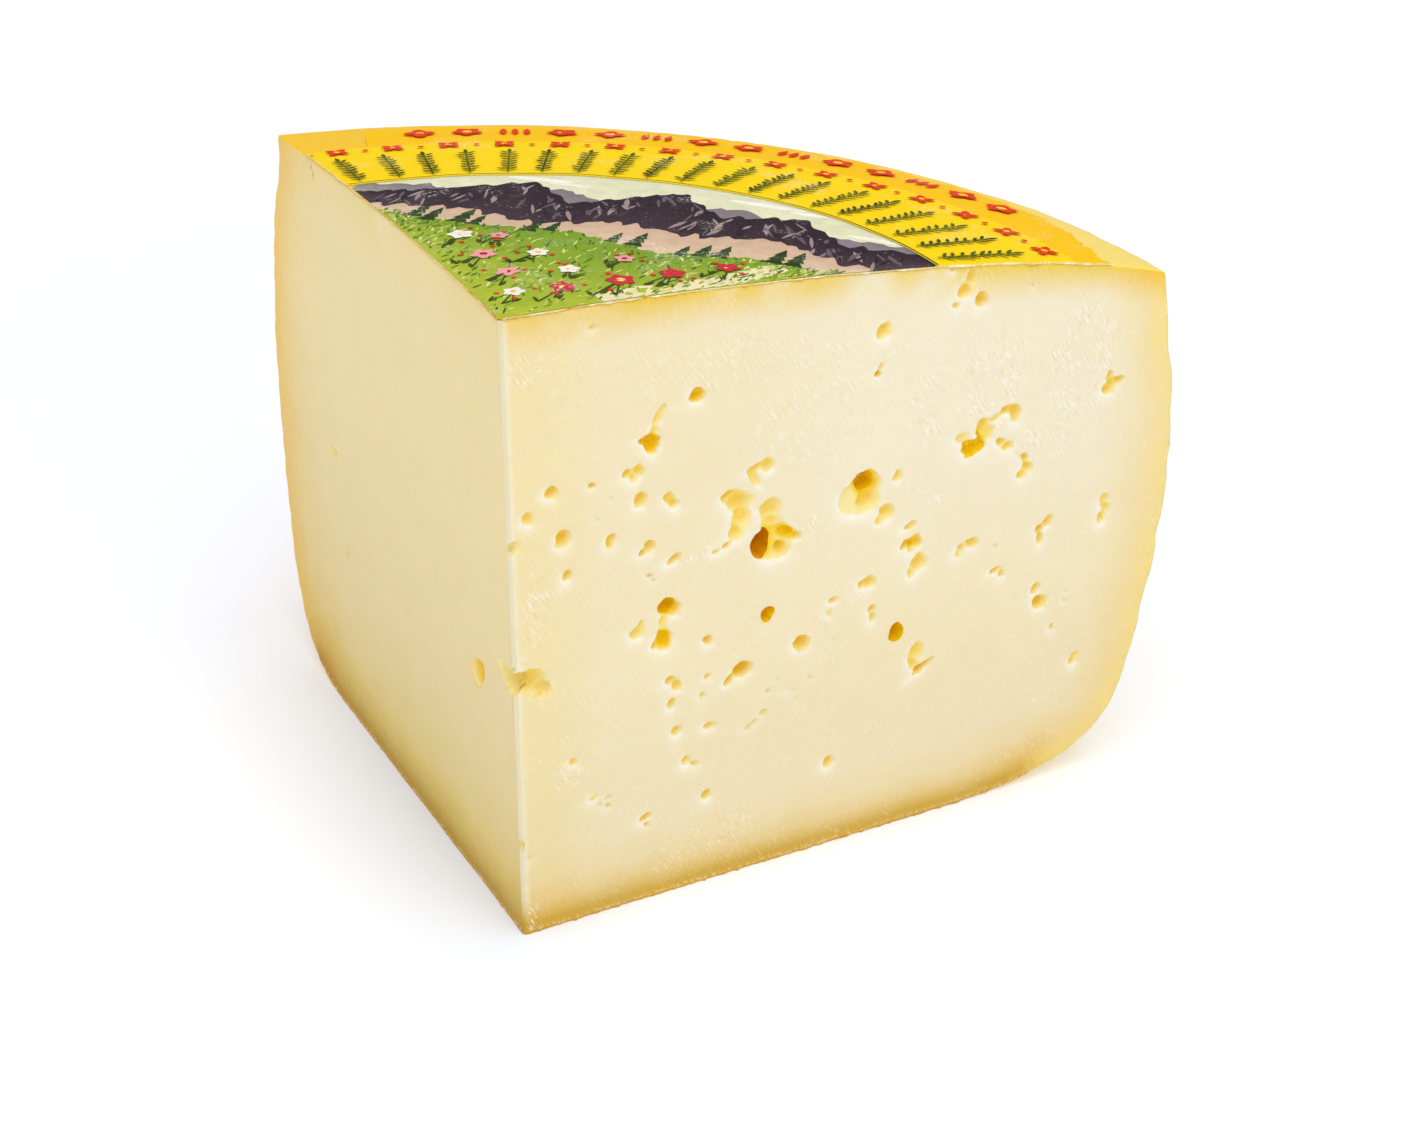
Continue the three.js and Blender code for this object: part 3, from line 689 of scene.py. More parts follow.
def split_marked(triangles, side, edge_of, new_corner):
    """Splits each triangle by its marked edges, whose middles are already corners."""
    middle = new_corner[edge_of]
    marks = (middle >= 0).sum(axis=1)
    # turn each triangle so that its first edge is marked and, with two marks, its last one isn't
    turn = np.zeros(len(triangles), int)
    has = middle >= 0
    turn[marks == 1] = np.argmax(has[marks == 1], axis=1)
    turn[marks == 2] = (np.argmin(has[marks == 2], axis=1) + 1) % 3
    order = (turn[:, None] + np.arange(3)) % 3
    a, b, c = np.take_along_axis(triangles, order, axis=1).T
    ab, bc, ca = np.take_along_axis(middle, order, axis=1).T
    pieces = {
        0: [(a, b, c)],
        1: [(a, ab, c), (ab, b, c)],
        2: [(ab, b, bc), (a, ab, bc), (a, bc, c)],
        3: [(a, ab, ca), (ab, b, bc), (ca, bc, c), (ab, bc, ca)],
    }
    new_triangles, new_side = [], []
    for count, parts in pieces.items():
        chosen = marks == count
        for part in parts:
            new_triangles.append(np.stack([corner[chosen] for corner in part], axis=1))
            new_side.append(side[chosen])
    return np.concatenate(new_triangles), np.concatenate(new_side)


def refine(corners, triangles, side):
    """Splits edges until none is much longer than the relief wants it."""
    relief = Relief(corners)
    flat, places, wanted = relief.flat, relief.places, relief.wanted_edge()
    for _ in range(REFINE_ROUNDS):
        ends = np.sort(np.stack([triangles, np.roll(triangles, -1, axis=1)], axis=2), axis=2)
        keys, edge_of = np.unique(ends[..., 0] * len(corners) + ends[..., 1], return_inverse=True)
        edge_of = edge_of.reshape(-1, 3)
        start, end = np.divmod(keys, len(corners))
        length = np.linalg.norm(places[start] - places[end], axis=1)
        flat_length = np.linalg.norm(flat[start] - flat[end], axis=1)
        marked = (length > EDGE_SLACK * np.minimum(wanted[start], wanted[end])) & (flat_length > FINEST_EDGE)
        if not marked.any():
            break
        longest = np.take_along_axis(edge_of, length[edge_of].argmax(axis=1)[:, None], axis=1)[:, 0]
        for _ in range(LONGEST_ROUNDS):
            marked[longest[marked[edge_of].any(axis=1)]] = True
        new_corner = np.full(len(keys), -1)
        new_corner[marked] = len(corners) + np.arange(marked.sum())
        middles = (corners[start[marked]] + corners[end[marked]]) / 2
        relief = Relief(middles)
        corners = np.vstack([corners, middles])
        flat, places = np.vstack([flat, relief.flat]), np.vstack([places, relief.places])
        wanted = np.concatenate([wanted, relief.wanted_edge()])
        triangles, side = split_marked(triangles, side, edge_of, new_corner)
    return corners, triangles, side


def add_object(name, data):
    thing = bpy.data.objects.new(name, data)
    bpy.context.scene.collection.objects.link(thing)
    return thing


def new_piece(name, places, faces):
    """A mesh object, smooth but for its sharp edges, from places in millimetres round the wheel's axis."""
    mesh = bpy.data.meshes.new(name)
    mesh.from_pydata((np.asarray(places) * MM + AXIS).tolist(), [], [list(face) for face in faces])
    mesh.update()
    mesh.shade_smooth()
    mesh.set_sharp_from_angle(angle=math.radians(SHARP_ANGLE))
    return add_object(name, mesh)


VALUE_FIELDS = {"FLOAT": "value", "FLOAT_VECTOR": "vector", "FLOAT_COLOR": "color"}


def add_values(piece, name, values, kind="FLOAT", domain="POINT"):
    attribute = piece.data.attributes.new(name, kind, domain)
    attribute.data.foreach_set(VALUE_FIELDS[kind], np.asarray(values, np.float32).ravel())


def wheel_axis():
    """Where the wheel's axis stands on the floor: the front edge of the CAD solid's box."""
    low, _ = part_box("cheese")
    up = np.linspace(0, 1, 13)
    radius, height = rim_point(1.0, up)
    second_cut = wheel_point(np.ones_like(up), radius, height)
    return np.array([low.x - second_cut[:, 0].min() * MM, low.y, 0.0])


AXIS = wheel_axis()
WEDGE_ARC = math.pi / 2 * SHOULDER_RADIUS
MAP_SIZE = 496  # millimetres across the square of flat maps
MAP_CORNERS = [(0, 0), (168, 0), (336, 0), (0, 150), (0, 325), (245, 150)]
EDGE_MAP_WIDTH, RIM_MAP_HEIGHT = 4, 170


def make_cheese():
    corners, triangles, side = refine(*block_surface(GRID_STEPS))
    relief = Relief(corners)
    cheese = new_piece("cheese_body", relief.places, triangles)
    for name, values in {**relief.values, "round": relief.round, "radius": relief.radius}.items():
        add_values(cheese, name, values)
    on_cut = np.stack([relief.radius, relief.height, relief.round * ROUND_LENGTH], axis=1) * MM
    add_values(cheese, "on_cut", on_cut, kind="FLOAT_VECTOR")
    add_values(cheese, "skin", side > 2, domain="FACE")
    lay_out(cheese, relief, triangles, side)
    return cheese


def lay_out(piece, relief, triangles, side):
    """Flat maps of the six sides, laid beside each other in one square, for baking."""
    x, y = relief.places[:, 0] + WEDGE_ARC / 2, relief.places[:, 1]
    cut = (relief.radius, relief.height)
    edge = (relief.round * EDGE_MAP_WIDTH, relief.height)
    rim = (relief.round * WEDGE_ARC, relief.up * RIM_MAP_HEIGHT)
    places = np.empty((len(triangles), 3, 2))
    maps = zip((cut, cut, edge, rim, (x, y), (x, y)), MAP_CORNERS)
    for number, ((across, along), (left, bottom)) in enumerate(maps):
        chosen = triangles[side == number]
        places[side == number] = np.stack([across[chosen] + left, along[chosen] + bottom], axis=-1)
    layer = piece.data.uv_layers.new(name="OFBake")
    layer.uv.foreach_set("vector", (places / MAP_SIZE).astype(np.float32).ravel())


# ---- The label's sheet ----
fray = Wobble(1.4, 11, axes=1)
tear = Wobble(9, 12, axes=1)
crease = Wobble(26, 13, axes=2)


def label_edge(round_):
    """Radius of the label's outer edge, worn uneven."""
    missing = smooth(LABEL_RING_END, LABEL_RING_END + LABEL_RING_STEP, round_)
    whole = smooth(0, LABEL_WORN_SHARE, round_)
    worn = 0.5 * tear(round_ * WEDGE_ARC) + mix(0.7, 0.25, whole) * fray(round_ * WEDGE_ARC)
    return mix(mix(LABEL_WORN_RADIUS, LABEL_RADIUS, whole), LABEL_INNER_RADIUS, missing) + worn


def label_height(round_, radius, layer=0.0):
    """Height of the label's print side, or of something laid on it."""
    rise = LABEL_GAP + LABEL_THICKNESS + CREASE_DEPTH * crease(round_ * ROUND_LENGTH, radius)
    return dome_height(radius, round_) + rise + layer


def make_label():
    steps_round, steps_out = round(WEDGE_ARC / LABEL_CELL), round(LABEL_RADIUS / LABEL_CELL)
    shares = [np.linspace(0, 1, steps + 1) for steps in (steps_round, steps_out)]
    round_, out = np.meshgrid(*shares, indexing="ij")
    edge = label_edge(round_[:, 0])
    radius = FRONT_EDGE_RADIUS + LABEL_INSET + out * (edge[:, None] - FRONT_EDGE_RADIUS)
    top = wheel_point(round_, radius, label_height(round_, radius))
    for cut, column in ((0, 0), (1, -1)):
        torn = 0.12 * tear(radius[column]) + 0.16 * fray(radius[column] + 50 * cut) - 0.1
        top[column] += cut_normal(cut, top[column, :, 2]) * torn[:, None]
    bottom = top.copy()
    bottom[..., 2] -= LABEL_THICKNESS
    shape = top.shape[:2]
    upper = np.arange(top[..., 0].size).reshape(shape)
    lower = upper + upper.size
    faces = [grid_faces(upper.T), grid_faces(lower)]
    border = np.concatenate([upper[0, :-1], upper[:-1, -1], upper[-1, :0:-1], upper[:0:-1, 0]])
    after = np.roll(border, -1)
    faces.append(np.stack([border, after, after + upper.size, border + upper.size], axis=1))
    places = np.concatenate([top.reshape(-1, 3), bottom.reshape(-1, 3)])
    label = new_piece("label_sheet", places, np.concatenate(faces))
    to_cut = distance_to_cuts(round_, radius)
    for name, values in (("radius", radius), ("round", round_), ("to_cut", to_cut)):
        add_values(label, name, np.tile(values.ravel(), 2))
    return label


def grid_faces(numbers):
    """Quads between the numbered corners of a grid."""
    quads = [numbers[:-1, :-1], numbers[:-1, 1:], numbers[1:, 1:], numbers[1:, :-1]]
    return np.stack(quads, axis=-1).reshape(-1, 4)


# ---- The print on the label: flat shapes in millimetres, x to the right and y away from the front edge ----
class Print:
    """Gathers flat coloured shapes, clips them to the wedge and lays them on the label."""

    LAYER = 0.02
    MARGIN = 0.12  # bare paper along the cuts

    def __init__(self):
        self.places, self.faces, self.colours = [], [], []
        self.layer = 1

    def shape(self, points, colour):
        """A convex shape, clipped by the two cuts."""
        points = [np.array(point, float) for point in points]
        for side in (1, -1):
            points = clipped(points, side, self.MARGIN)
            if len(points) < 3:
                return
        start, count = len(self.places), len(points)
        self.places += [(*point, self.layer) for point in points + [sum(points) / count]]
        self.colours += [colour] * (count + 1)
        self.faces += [[start + count, start + k, start + (k + 1) % count] for k in range(count)]

    def field(self, low, high, colours, step=1.0, rows=14):
        """A layer between two curves, inside the picture, shaded from one colour at its foot to another."""
        across = np.arange(-PICTURE_RADIUS, PICTURE_RADIUS + step / 2, step)
        rim = np.sqrt(np.maximum(PICTURE_RADIUS**2 - across**2, 0))
        foot = np.maximum(low(across), np.abs(across) + self.MARGIN * math.sqrt(2))
        head = np.minimum(high(across), rim)
        for k in range(len(across) - 1):
            if min(head[k] - foot[k], head[k + 1] - foot[k + 1]) < 0.02:
                continue
            start = len(self.places)
            for row in range(rows + 1):
                share = row / rows
                for j in (k, k + 1):
                    self.places.append((across[j], mix(foot[j], head[j], share), self.layer))
                    self.colours.append(tuple(mix(np.array(colours[0]), np.array(colours[1]), share)))
            corners = start + np.arange(2 * rows + 2).reshape(-1, 2)
            self.faces += [[a, b, d, c] for (a, b), (c, d) in zip(corners[:-1], corners[1:])]
        self.layer += 1

    def make(self, name):
        places = np.array(self.places)
        radius = np.hypot(places[:, 0], places[:, 1])
        angle = np.degrees(np.arctan2(places[:, 1], places[:, 0]))
        round_ = (angle - 90) / WEDGE_ANGLE + 0.5
        height = label_height(round_, radius, places[:, 2] * self.LAYER)
        piece = new_piece(name, wheel_point(round_, radius, height), self.faces)
        add_values(piece, "ink", [linear(colour) for colour in self.colours], kind="FLOAT_COLOR")
        return piece


def clipped(points, side, margin):
    """The part of a convex shape inside one cut of the wedge."""
    inside = [(point[1] - side * point[0]) / math.sqrt(2) - margin for point in points]
    kept = []
    for k, point in enumerate(points):
        following, room, next_room = points[k - len(points) + 1], inside[k], inside[k - len(points) + 1]
        if room >= 0:
            kept.append(point)
        if room * next_room < 0:
            kept.append(mix(point, following, room / (room - next_room)))
    return kept


# Places on a leaf's edge, as shares of its length and its width.
LEAF_OUTLINE = [
    (0, 0), (0.25, 0.38), (0.5, 0.5), (0.78, 0.33), (1, 0), (0.78, -0.33), (0.5, -0.5), (0.25, -0.38),
]


def leaf(sheet, x, y, angle, length, width, colour):
    """A pointed leaf that starts at a place and grows along an angle in degrees."""
    angle = math.radians(angle)
    along = np.array([math.cos(angle), math.sin(angle)])
    across = np.array([-along[1], along[0]])
    start = np.array([x, y])
    sheet.shape([start + along * u * length + across * v * width for u, v in LEAF_OUTLINE], colour)


def disc(sheet, x, y, width, tall, colour, corners=12):
    angles = np.linspace(0, 2 * math.pi, corners, endpoint=False)
    sheet.shape([(x + width / 2 * math.cos(a), y + tall / 2 * math.sin(a)) for a in angles], colour)


def line(sheet, start, end, width, colour):
    start, end = np.array(start, float), np.array(end, float)
    along = (end - start) / np.linalg.norm(end - start)
    across = np.array([-along[1], along[0]]) * width / 2
    sheet.shape([start - across, end - across * 0.6, end + across * 0.6, start + across], colour)


def blossom(sheet, x, y, size, petal, heart, turn=0, petals=5):
    for k in range(petals):
        leaf(sheet, x, y, turn + 360 / petals * k, size / 2, size * 0.42, petal)
    disc(sheet, x, y, size * 0.3, size * 0.3, heart, corners=8)


def on_ring(radius, angle):
    angle = math.radians(angle)
    return radius * math.cos(angle), radius * math.sin(angle)


def ring_angles(count, shift=0.5):
    """Even angles round the wedge, in degrees, with the first one a share of a step from the first cut."""
    return [RING_START + WEDGE_ANGLE * (k + shift) / count for k in range(count)]


def draw_sprigs(sheet):
    """Dark green ears that stand round the picture like the rays of a sun."""
    inner, outer = RAY_RADII
    random = np.random.default_rng(21)
    for k, angle in enumerate(ring_angles(RAYS)):
        angle += random.uniform(-0.3, 0.3)
        colour = RAY_GREENS[k % len(RAY_GREENS)]
        line(sheet, on_ring(inner, angle), on_ring(outer - 2, angle), 0.5, colour)
        for radius in np.arange(inner + 1.5, outer - 2.5, 2.3):
            for side in (1, -1):
                lean, length = random.uniform(35, 60), random.uniform(2.2, 3.4)
                leaf(sheet, *on_ring(radius, angle), angle + side * lean, length, 0.95, colour)
        leaf(sheet, *on_ring(outer - 3.5, angle), angle, 3.8, 1.1, colour)


def draw_rings(sheet):
    """Red beads round the sprigs, and rosettes and lozenges on the outer band."""
    for angle in ring_angles(BEADS):
        x, y = on_ring(BEAD_RADIUS, angle)
        for side in (0, 90, 180, 270):
            leaf(sheet, x, y, angle + 45 + side, 3.3, 2.2, RED)
        disc(sheet, x, y, 1.5, 1.5, BAND_YELLOW, corners=8)
        disc(sheet, *on_ring(BEAD_RADIUS - 0.5, angle + WEDGE_ANGLE / 2 / BEADS), 1.6, 1.6, RED, corners=8)
    first, last = (RING_START + WEDGE_ANGLE * share for share in (LABEL_WORN_SHARE, LABEL_RING_END))
    for k, angle in enumerate(ring_angles(ROSETTES, 0.35)):
        if angle > last - 2 or angle < first:
            continue
        if k % 3 == 2:
            for shift in (-1.2, 0, 1.2):
                leaf(sheet, *on_ring(BAND_RADIUS - 3.2, angle + shift), angle, 6.4, 1.9, RED)
        else:
            place = on_ring(BAND_RADIUS, angle)
            blossom(sheet, *place, 8.2, RED, BAND_YELLOW, turn=angle + 30 * (k % 2), petals=4 + k % 2)


def ridge(points, rough, seed):
    """A skyline through the points, with small crags."""
    crags = Wobble(5, seed, axes=1)
    across, heights = zip(*points)
    return lambda x: np.interp(x, across, heights) + rough * crags(x)


def level(height):
    return lambda x: np.full_like(x, height)


def draw_picture(sheet):
    """A mountain meadow: a cream sky, dark crags over pale scree, a green slope, firs and flowers."""
    sheet.field(level(0.0), level(PICTURE_RADIUS), (SKY_LOW, SKY_HIGH), step=1.5, rows=34)
    for x, y, width, tall in CLOUDS:
        disc(sheet, x, y, width, tall, CLOUD, corners=16)
    sheet.layer += 1
    sheet.field(level(40.0), ridge(FAR_CREST, 0.8, 31), (FAR_FOOT, FAR_TOP), step=1.5)
    crest = ridge(CREST, 0.9, 32)
    sheet.field(level(40.0), crest, (CRAG_FOOT, CRAG_TOP))
    random = np.random.default_rng(33)
    for k in range(CRAG_GULLIES):
        x = random.uniform(-60, 64)
        y = crest(x) - random.uniform(0.5, 12)
        shade = (CRAG_LIGHT, CRAG_GREY, CRAG_TOP)[k % 3]
        leaf(sheet, x, y, random.uniform(-105, -45), random.uniform(3, 9), random.uniform(0.5, 1.4), shade)
    sheet.layer += 1
    sheet.field(level(40.0), ridge(SCREE_CREST, 1.2, 34), (SCREE, SCREE_TOP))
    slope = ridge(SLOPE_CREST, 0.7, 35)
    sheet.field(level(0.0), slope, (MEADOW_NEAR, MEADOW_FAR), rows=20)
    for start in np.arange(22, 62, 3):
        ends = [on_ring(radius, 49.5 - 1.2 * math.sin(radius / 6)) for radius in (start, start + 3.6)]
        line(sheet, *ends, 6, PATH)
    sheet.layer += 1
    draw_grass(sheet, slope, random)
    draw_firs(sheet, slope, random)
    sheet.layer += 1
    draw_flowers(sheet, random)


def draw_grass(sheet, slope, random):
    for _ in range(GRASS_STROKES):
        x = random.uniform(-52, 52)
        y = random.uniform(abs(x), max(abs(x), slope(x) - 1))
        colour = GRASS[random.integers(len(GRASS))]
        leaf(sheet, x, y, 90 + random.uniform(-35, 35), random.uniform(1.5, 3.6), 0.55, colour)
    sheet.layer += 1


def draw_firs(sheet, slope, random):
    for x in FIR_PLACES:
        foot = slope(x) - random.uniform(0.5, 2)
        tall = random.uniform(7, 11)
        for k in range(3):
            low, half = foot + tall * 0.26 * k, tall * (0.24 - 0.05 * k)
            points = [(x - half, low), (x, low + tall * 0.45), (x + half, low)]
            sheet.shape(points[::-1], FIR_GREENS[(k + x) % 2])


def draw_flowers(sheet, random):
    for k, (x, y, size) in enumerate(FLOWERS):
        for _ in range(3):
            foot = (x + random.uniform(-3, 3), y - size * random.uniform(0.9, 1.6))
            line(sheet, foot, (x, y), 0.45, STEM)
            leaf(sheet, *foot, random.uniform(30, 150), 2.6, 0.9, STEM)
        sheet.layer += 1
        petal, heart = FLOWER_COLOURS[k % len(FLOWER_COLOURS)]
        blossom(sheet, x, y, size, petal, heart, turn=random.uniform(0, 70))
        for _ in range(3):
            angle = random.uniform(0, 2 * math.pi)
            reach = size * random.uniform(0.6, 0.9)
            disc(sheet, x + reach * math.cos(angle), y + reach * math.sin(angle), 1.3, 1.1, RED, corners=7)


def make_print():
    sheet = Print()
    draw_picture(sheet)
    frame_angles = np.linspace(RING_START, RING_START + WEDGE_ANGLE, 91)
    for start, end in zip(frame_angles[:-1], frame_angles[1:]):
        corners = [(-0.2, start), (0.3, start), (0.3, end), (-0.2, end)]
        sheet.shape([on_ring(PICTURE_RADIUS + out, angle) for out, angle in corners], FRAME_GREEN)
    draw_sprigs(sheet)
    draw_rings(sheet)
    return sheet.make("label_print")


# ---- Materials ----
def linear(colour):
    """A colour from 0 to 255 as Blender's linear red, green, blue and alpha."""
    share = np.array(colour) / 255
    return (*np.where(share <= 0.04045, share / 12.92, ((share + 0.055) / 1.055) ** 2.4), 1.0)


MIX_INPUTS, MIX_OUTPUT = (0, 6, 7), 2  # the sockets of a colour mix: share, the two colours and the result


class Look:
    """A material's nodes. Each call adds one and gives back its output."""

    def __init__(self, name):
        self.material = bpy.data.materials.new(name)
        self.material.use_nodes = True
        self.tree = self.material.node_tree
        self.shader = self.tree.nodes["Principled BSDF"]
        self.place = self.add("ShaderNodeTexCoord").outputs["Object"]

    def add(self, kind, inputs=None, **settings):
        node = self.tree.nodes.new(kind)
        for name, value in settings.items():
            setattr(node, name, value)
        for name, value in (inputs or {}).items():
            self.put(node.inputs[name], value)
        return node

    def put(self, socket, value):
        if isinstance(value, bpy.types.NodeSocket):
            self.tree.links.new(value, socket)
        else:
            socket.default_value = value

    def finish(self, **sockets):
        for name, value in sockets.items():
            self.put(self.shader.inputs[name.replace("_", " ").title().replace("Ior", "IOR")], value)
        return self.material

    def value(self, name, output="Fac"):
        return self.add("ShaderNodeAttribute", attribute_name=name).outputs[output]

    def math(self, operation, *values):
        return self.add("ShaderNodeMath", dict(enumerate(values)), operation=operation).outputs[0]

    def times(self, a, b):
        return self.math("MULTIPLY", a, b)

    def plus(self, a, b):
        return self.math("ADD", a, b)

    def less(self, a, b):
        return self.math("SUBTRACT", a, b)

    def step(self, value, low, high):
        """0 up to low, 1 from high, and smooth between them, or the other way round where low is higher."""
        inputs = {"Value": value, "From Min": min(low, high), "From Max": max(low, high)}
        if low > high:
            inputs.update({"To Min": 1.0, "To Max": 0.0})
        return self.add("ShaderNodeMapRange", inputs, interpolation_type="SMOOTHSTEP").outputs[0]

    def separate(self, vector, axis):
        return self.add("ShaderNodeSeparateXYZ", {"Vector": vector}).outputs[axis]

    def length(self, vector):
        return self.add("ShaderNodeVectorMath", {"Vector": vector}, operation="LENGTH").outputs["Value"]

    def noise(self, size, detail=2.0, roughness=0.5, place=None):
        return self.add("ShaderNodeTexNoise", {
            "Vector": place or self.place, "Scale": 1 / (size * MM), "Detail": detail, "Roughness": roughness,
        }).outputs["Fac"]

    def streaks(self, place, turn, size, length):
        """Fine lines along a direction in degrees from the right, some longer and some shorter."""
        rotation, scale = (0, 0, math.radians(-turn)), (size / length, 1, 1)
        place = self.add("ShaderNodeMapping", {"Vector": place, "Rotation": rotation}).outputs[0]
        place = self.add("ShaderNodeMapping", {"Vector": place, "Scale": scale}).outputs[0]
        return self.noise(size, 3, 0.6, place)

    def blend(self, share, a, b, **settings):
        """Colour a, turned into b as far as the share says."""
        node = self.add("ShaderNodeMix", data_type="RGBA", **settings)
        for number, value in zip(MIX_INPUTS, (share, a, b)):
            self.put(node.inputs[number], linear(value) if isinstance(value, tuple) else value)
        return node.outputs[MIX_OUTPUT]

    def tint(self, share, colour, tint):
        """The colour multiplied by a tint, as far as the share says."""
        return self.blend(share, colour, tint, blend_type="MULTIPLY")

    def fade(self, distance, reach, power):
        """1 at no distance, falling to 0 at the reach."""
        left = self.math("SUBTRACT", 1.0, self.math("MINIMUM", self.math("DIVIDE", distance, reach), 1.0))
        return self.math("POWER", left, power)

    def colour_ramp(self, distance, stops):
        """Colours along a distance in millimetres."""
        far = stops[-1][0]
        node = self.add("ShaderNodeValToRGB", {"Fac": self.math("DIVIDE", distance, far)})
        elements = node.color_ramp.elements
        while len(elements) < len(stops):
            elements.new(1.0)
        for element, (place, colour) in zip(elements, stops):
            element.position = place / far
            element.color = linear(colour)
        return node.outputs["Color"]

    def bump(self, height, depth, normal=None):
        """Relief of a depth in millimetres from a height between 0 and 1."""
        inputs = {"Height": height, "Distance": depth * MM, "Strength": 1.0}
        if normal:
            inputs["Normal"] = normal
        return self.add("ShaderNodeBump", inputs).outputs[0]


def cheese_look():
    look = Look("pressed_cheese")
    eye, eye_glow_and_shade, halo, smear = (look.value(name) for name in ("eye", "eye_glow_and_shade", "halo", "smear"))
    skin, round_ = look.value("skin"), look.value("round")
    on_cut = look.value("on_cut", "Vector")
    wandering = look.plus(0.8, look.times(look.noise(9, 2), 0.4))
    reach = look.times(wandering, look.less(1.0, look.times(round_, SECOND_CUT_SPREAD)))
    to_rim, to_top = (look.times(look.value(name), reach) for name in ("to_rim", "to_top"))
    away, up = (look.separate(on_cut, axis) for axis in "XY")
    pale = look.times(look.step(away, 30 * MM, 90 * MM), look.step(up, 45 * MM, 105 * MM))
    foot = look.times(look.value("to_base"), wandering)
    first = look.blend(look.times(pale, 0.8), look.colour_ramp(foot, FIRST_FOOT_STOPS), PALE_PASTE)
    paste = look.blend(round_, first, look.colour_ramp(foot, SECOND_FOOT_STOPS))
    paste = look.tint(look.fade(to_rim, RIM_REACH, 1.6), paste, RIM_TINT)
    paste = look.tint(look.times(round_, look.fade(to_rim, 9, 1.0)), paste, SECOND_RIM_TINT)
    first_side = look.less(1.0, round_)
    glowing = look.times(look.step(to_rim, 9, 1), look.step(look.noise(11, 2), 0.2, 0.7))
    paste = look.blend(look.times(glowing, look.times(first_side, 0.6)), paste, RIM_GLOW)
    paste = look.tint(look.times(first_side, look.step(away, 24 * MM, 6 * MM)), paste, NEAR_FRONT_TINT)
    patchy = look.step(look.plus(look.noise(22, 2), look.step(away, 95 * MM, 130 * MM)), 0.3, 0.62)
    under_label = look.times(look.fade(to_top, TOP_REACH, 1.1), patchy)
    paste = look.tint(look.times(under_label, look.step(round_, 1.4, 0.2)), paste, TOP_TINT)
    paste = look.tint(look.noise(16, 4, 0.6), paste, MOTTLE_TINT)
    # the knife's lines and white crumbs
    knife = look.streaks(on_cut, KNIFE_TURN, 0.5, 2.8)
    plain = look.times(look.step(look.noise(14, 3), 0.3, 0.65), look.less(0.3, look.times(round_, 0.24)))
    worked = look.plus(plain, look.times(look.times(smear, 1.6), look.step(look.noise(5, 2), 0.3, 0.7)))
    paste = look.tint(look.times(look.step(knife, 0.48, 0.3), worked), paste, SHADE_TINT)
    crumbs = look.step(look.noise(0.8, 3, 0.6), 0.54, 0.66)
    clumps = look.times(smear, look.step(look.noise(4, 2), 0.45, 0.6))
    crumbly = look.times(look.step(foot, 1.7, 0.9), look.step(look.noise(0.8, 3), 0.46, 0.62))
    # painted highlight along the rounded front edge, on the first cut
    front = look.times(look.step(look.value("radius"), 2.6, 0.7), look.step(round_, 1.0, 0.7))
    front = look.times(front, look.step(foot, 3, 12))
    core, core_lip = look.value("core"), look.value("core_lip")
    in_core = look.step(core_lip, 0.06, 0.0)
    # painted shade, a darker gold, round the lips of deep cores
    beside = look.times(look.step(core_lip, 1.8, 0.2), look.step(eye, 0.3, 1.3))
    # what lies over the paste, from the lowest layer up: how much of it there is, and its colour
    for cover, colour in (
        (look.times(look.step(knife, 0.52, 0.7), worked), FLECK),
        (look.times(crumbs, clumps), FLECK),
        (look.times(look.step(look.noise(0.7, 3), 0.68, 0.76), 0.5), FLECK),
        (look.times(crumbly, 0.6), FOOT_CRUMB),
        (look.step(foot, 0.75, 0.35), BASE_CRUST),
        # painted highlights on the eyes' lips and along the front edge
        (look.times(halo, 0.8), LIP_HIGHLIGHT),
        (look.times(front, look.plus(0.2, look.times(look.noise(6, 3), 0.9))), FRONT_EDGE_HIGHLIGHT),
        (look.value("stain"), STAIN),
        # painted light in the eyes: a yellow glow, then painted shade in darker gold deeper in and in the
        # cores
        (look.step(eye, 0.04, 0.5), EYE_PAINTED_GLOW),
        (look.step(eye_glow_and_shade, 0.4, 1.7), EYE_WALL_GLOW_AND_SHADE),
        (look.step(eye_glow_and_shade, 1.5, 3.2), EYE_GOLD_PAINTED_SHADE),
        (look.times(beside, 0.85), EYE_GOLD_PAINTED_SHADE),
        (look.times(in_core, look.step(core, 1, 3)), EYE_GOLD_PAINTED_SHADE),
        (look.times(in_core, look.step(core, 4.5, 7.5)), EYE_DEEP_PAINTED_SHADE),
    ):
        paste = look.blend(cover, paste, colour)
    deep = look.step(look.times(round_, look.plus(0.6, look.noise(24, 4, 0.6))), 0.5, 0.1)
    rind = look.blend(deep, RIND_DEEP, RIND_PALE)
    bloom = look.times(look.step(look.noise(14, 5, 0.65), 0.45, 0.75), look.step(round_, 0.8, 0.4))
    rind = look.blend(bloom, rind, RIND_BLOOM)
    colour = look.blend(skin, paste, rind)
    relief = look.bump(look.noise(0.7, 3, 0.6), 0.04)
    relief = look.bump(knife, 0.08, relief)
    relief = look.bump(look.times(crumbs, smear), 0.04, relief)
    relief = look.bump(look.noise(5, 3), 0.35, relief)
    rough = look.plus(0.42, look.times(look.noise(2.5, 3), 0.16))
    return look.finish(
        base_color=colour, roughness=rough, normal=relief, subsurface_weight=0.22,
        subsurface_radius=(1.0, 0.62, 0.25), subsurface_scale=0.004, specular_ior_level=0.2,
    )


def paper_wear(look, ink):
    """The print with worn white flecks."""
    ink = look.blend(look.times(look.step(look.noise(1.1, 4, 0.7), 0.62, 0.74), 0.5), ink, PAPER_WHITE)
    scuffed = look.step(look.noise(0.8, 4, 0.7), 0.52, 0.62)
    scuffed = look.times(look.step(look.noise(13, 2), 0.55, 0.7), scuffed)
    return look.blend(look.times(scuffed, 0.5), ink, PAPER_WHITE)


def paper_finish(look, ink):
    relief = look.bump(look.noise(0.6, 3), 0.05)
    relief = look.bump(look.noise(9, 2), 0.25, relief)
    return look.finish(base_color=ink, roughness=0.6, normal=relief, specular_ior_level=0.04)


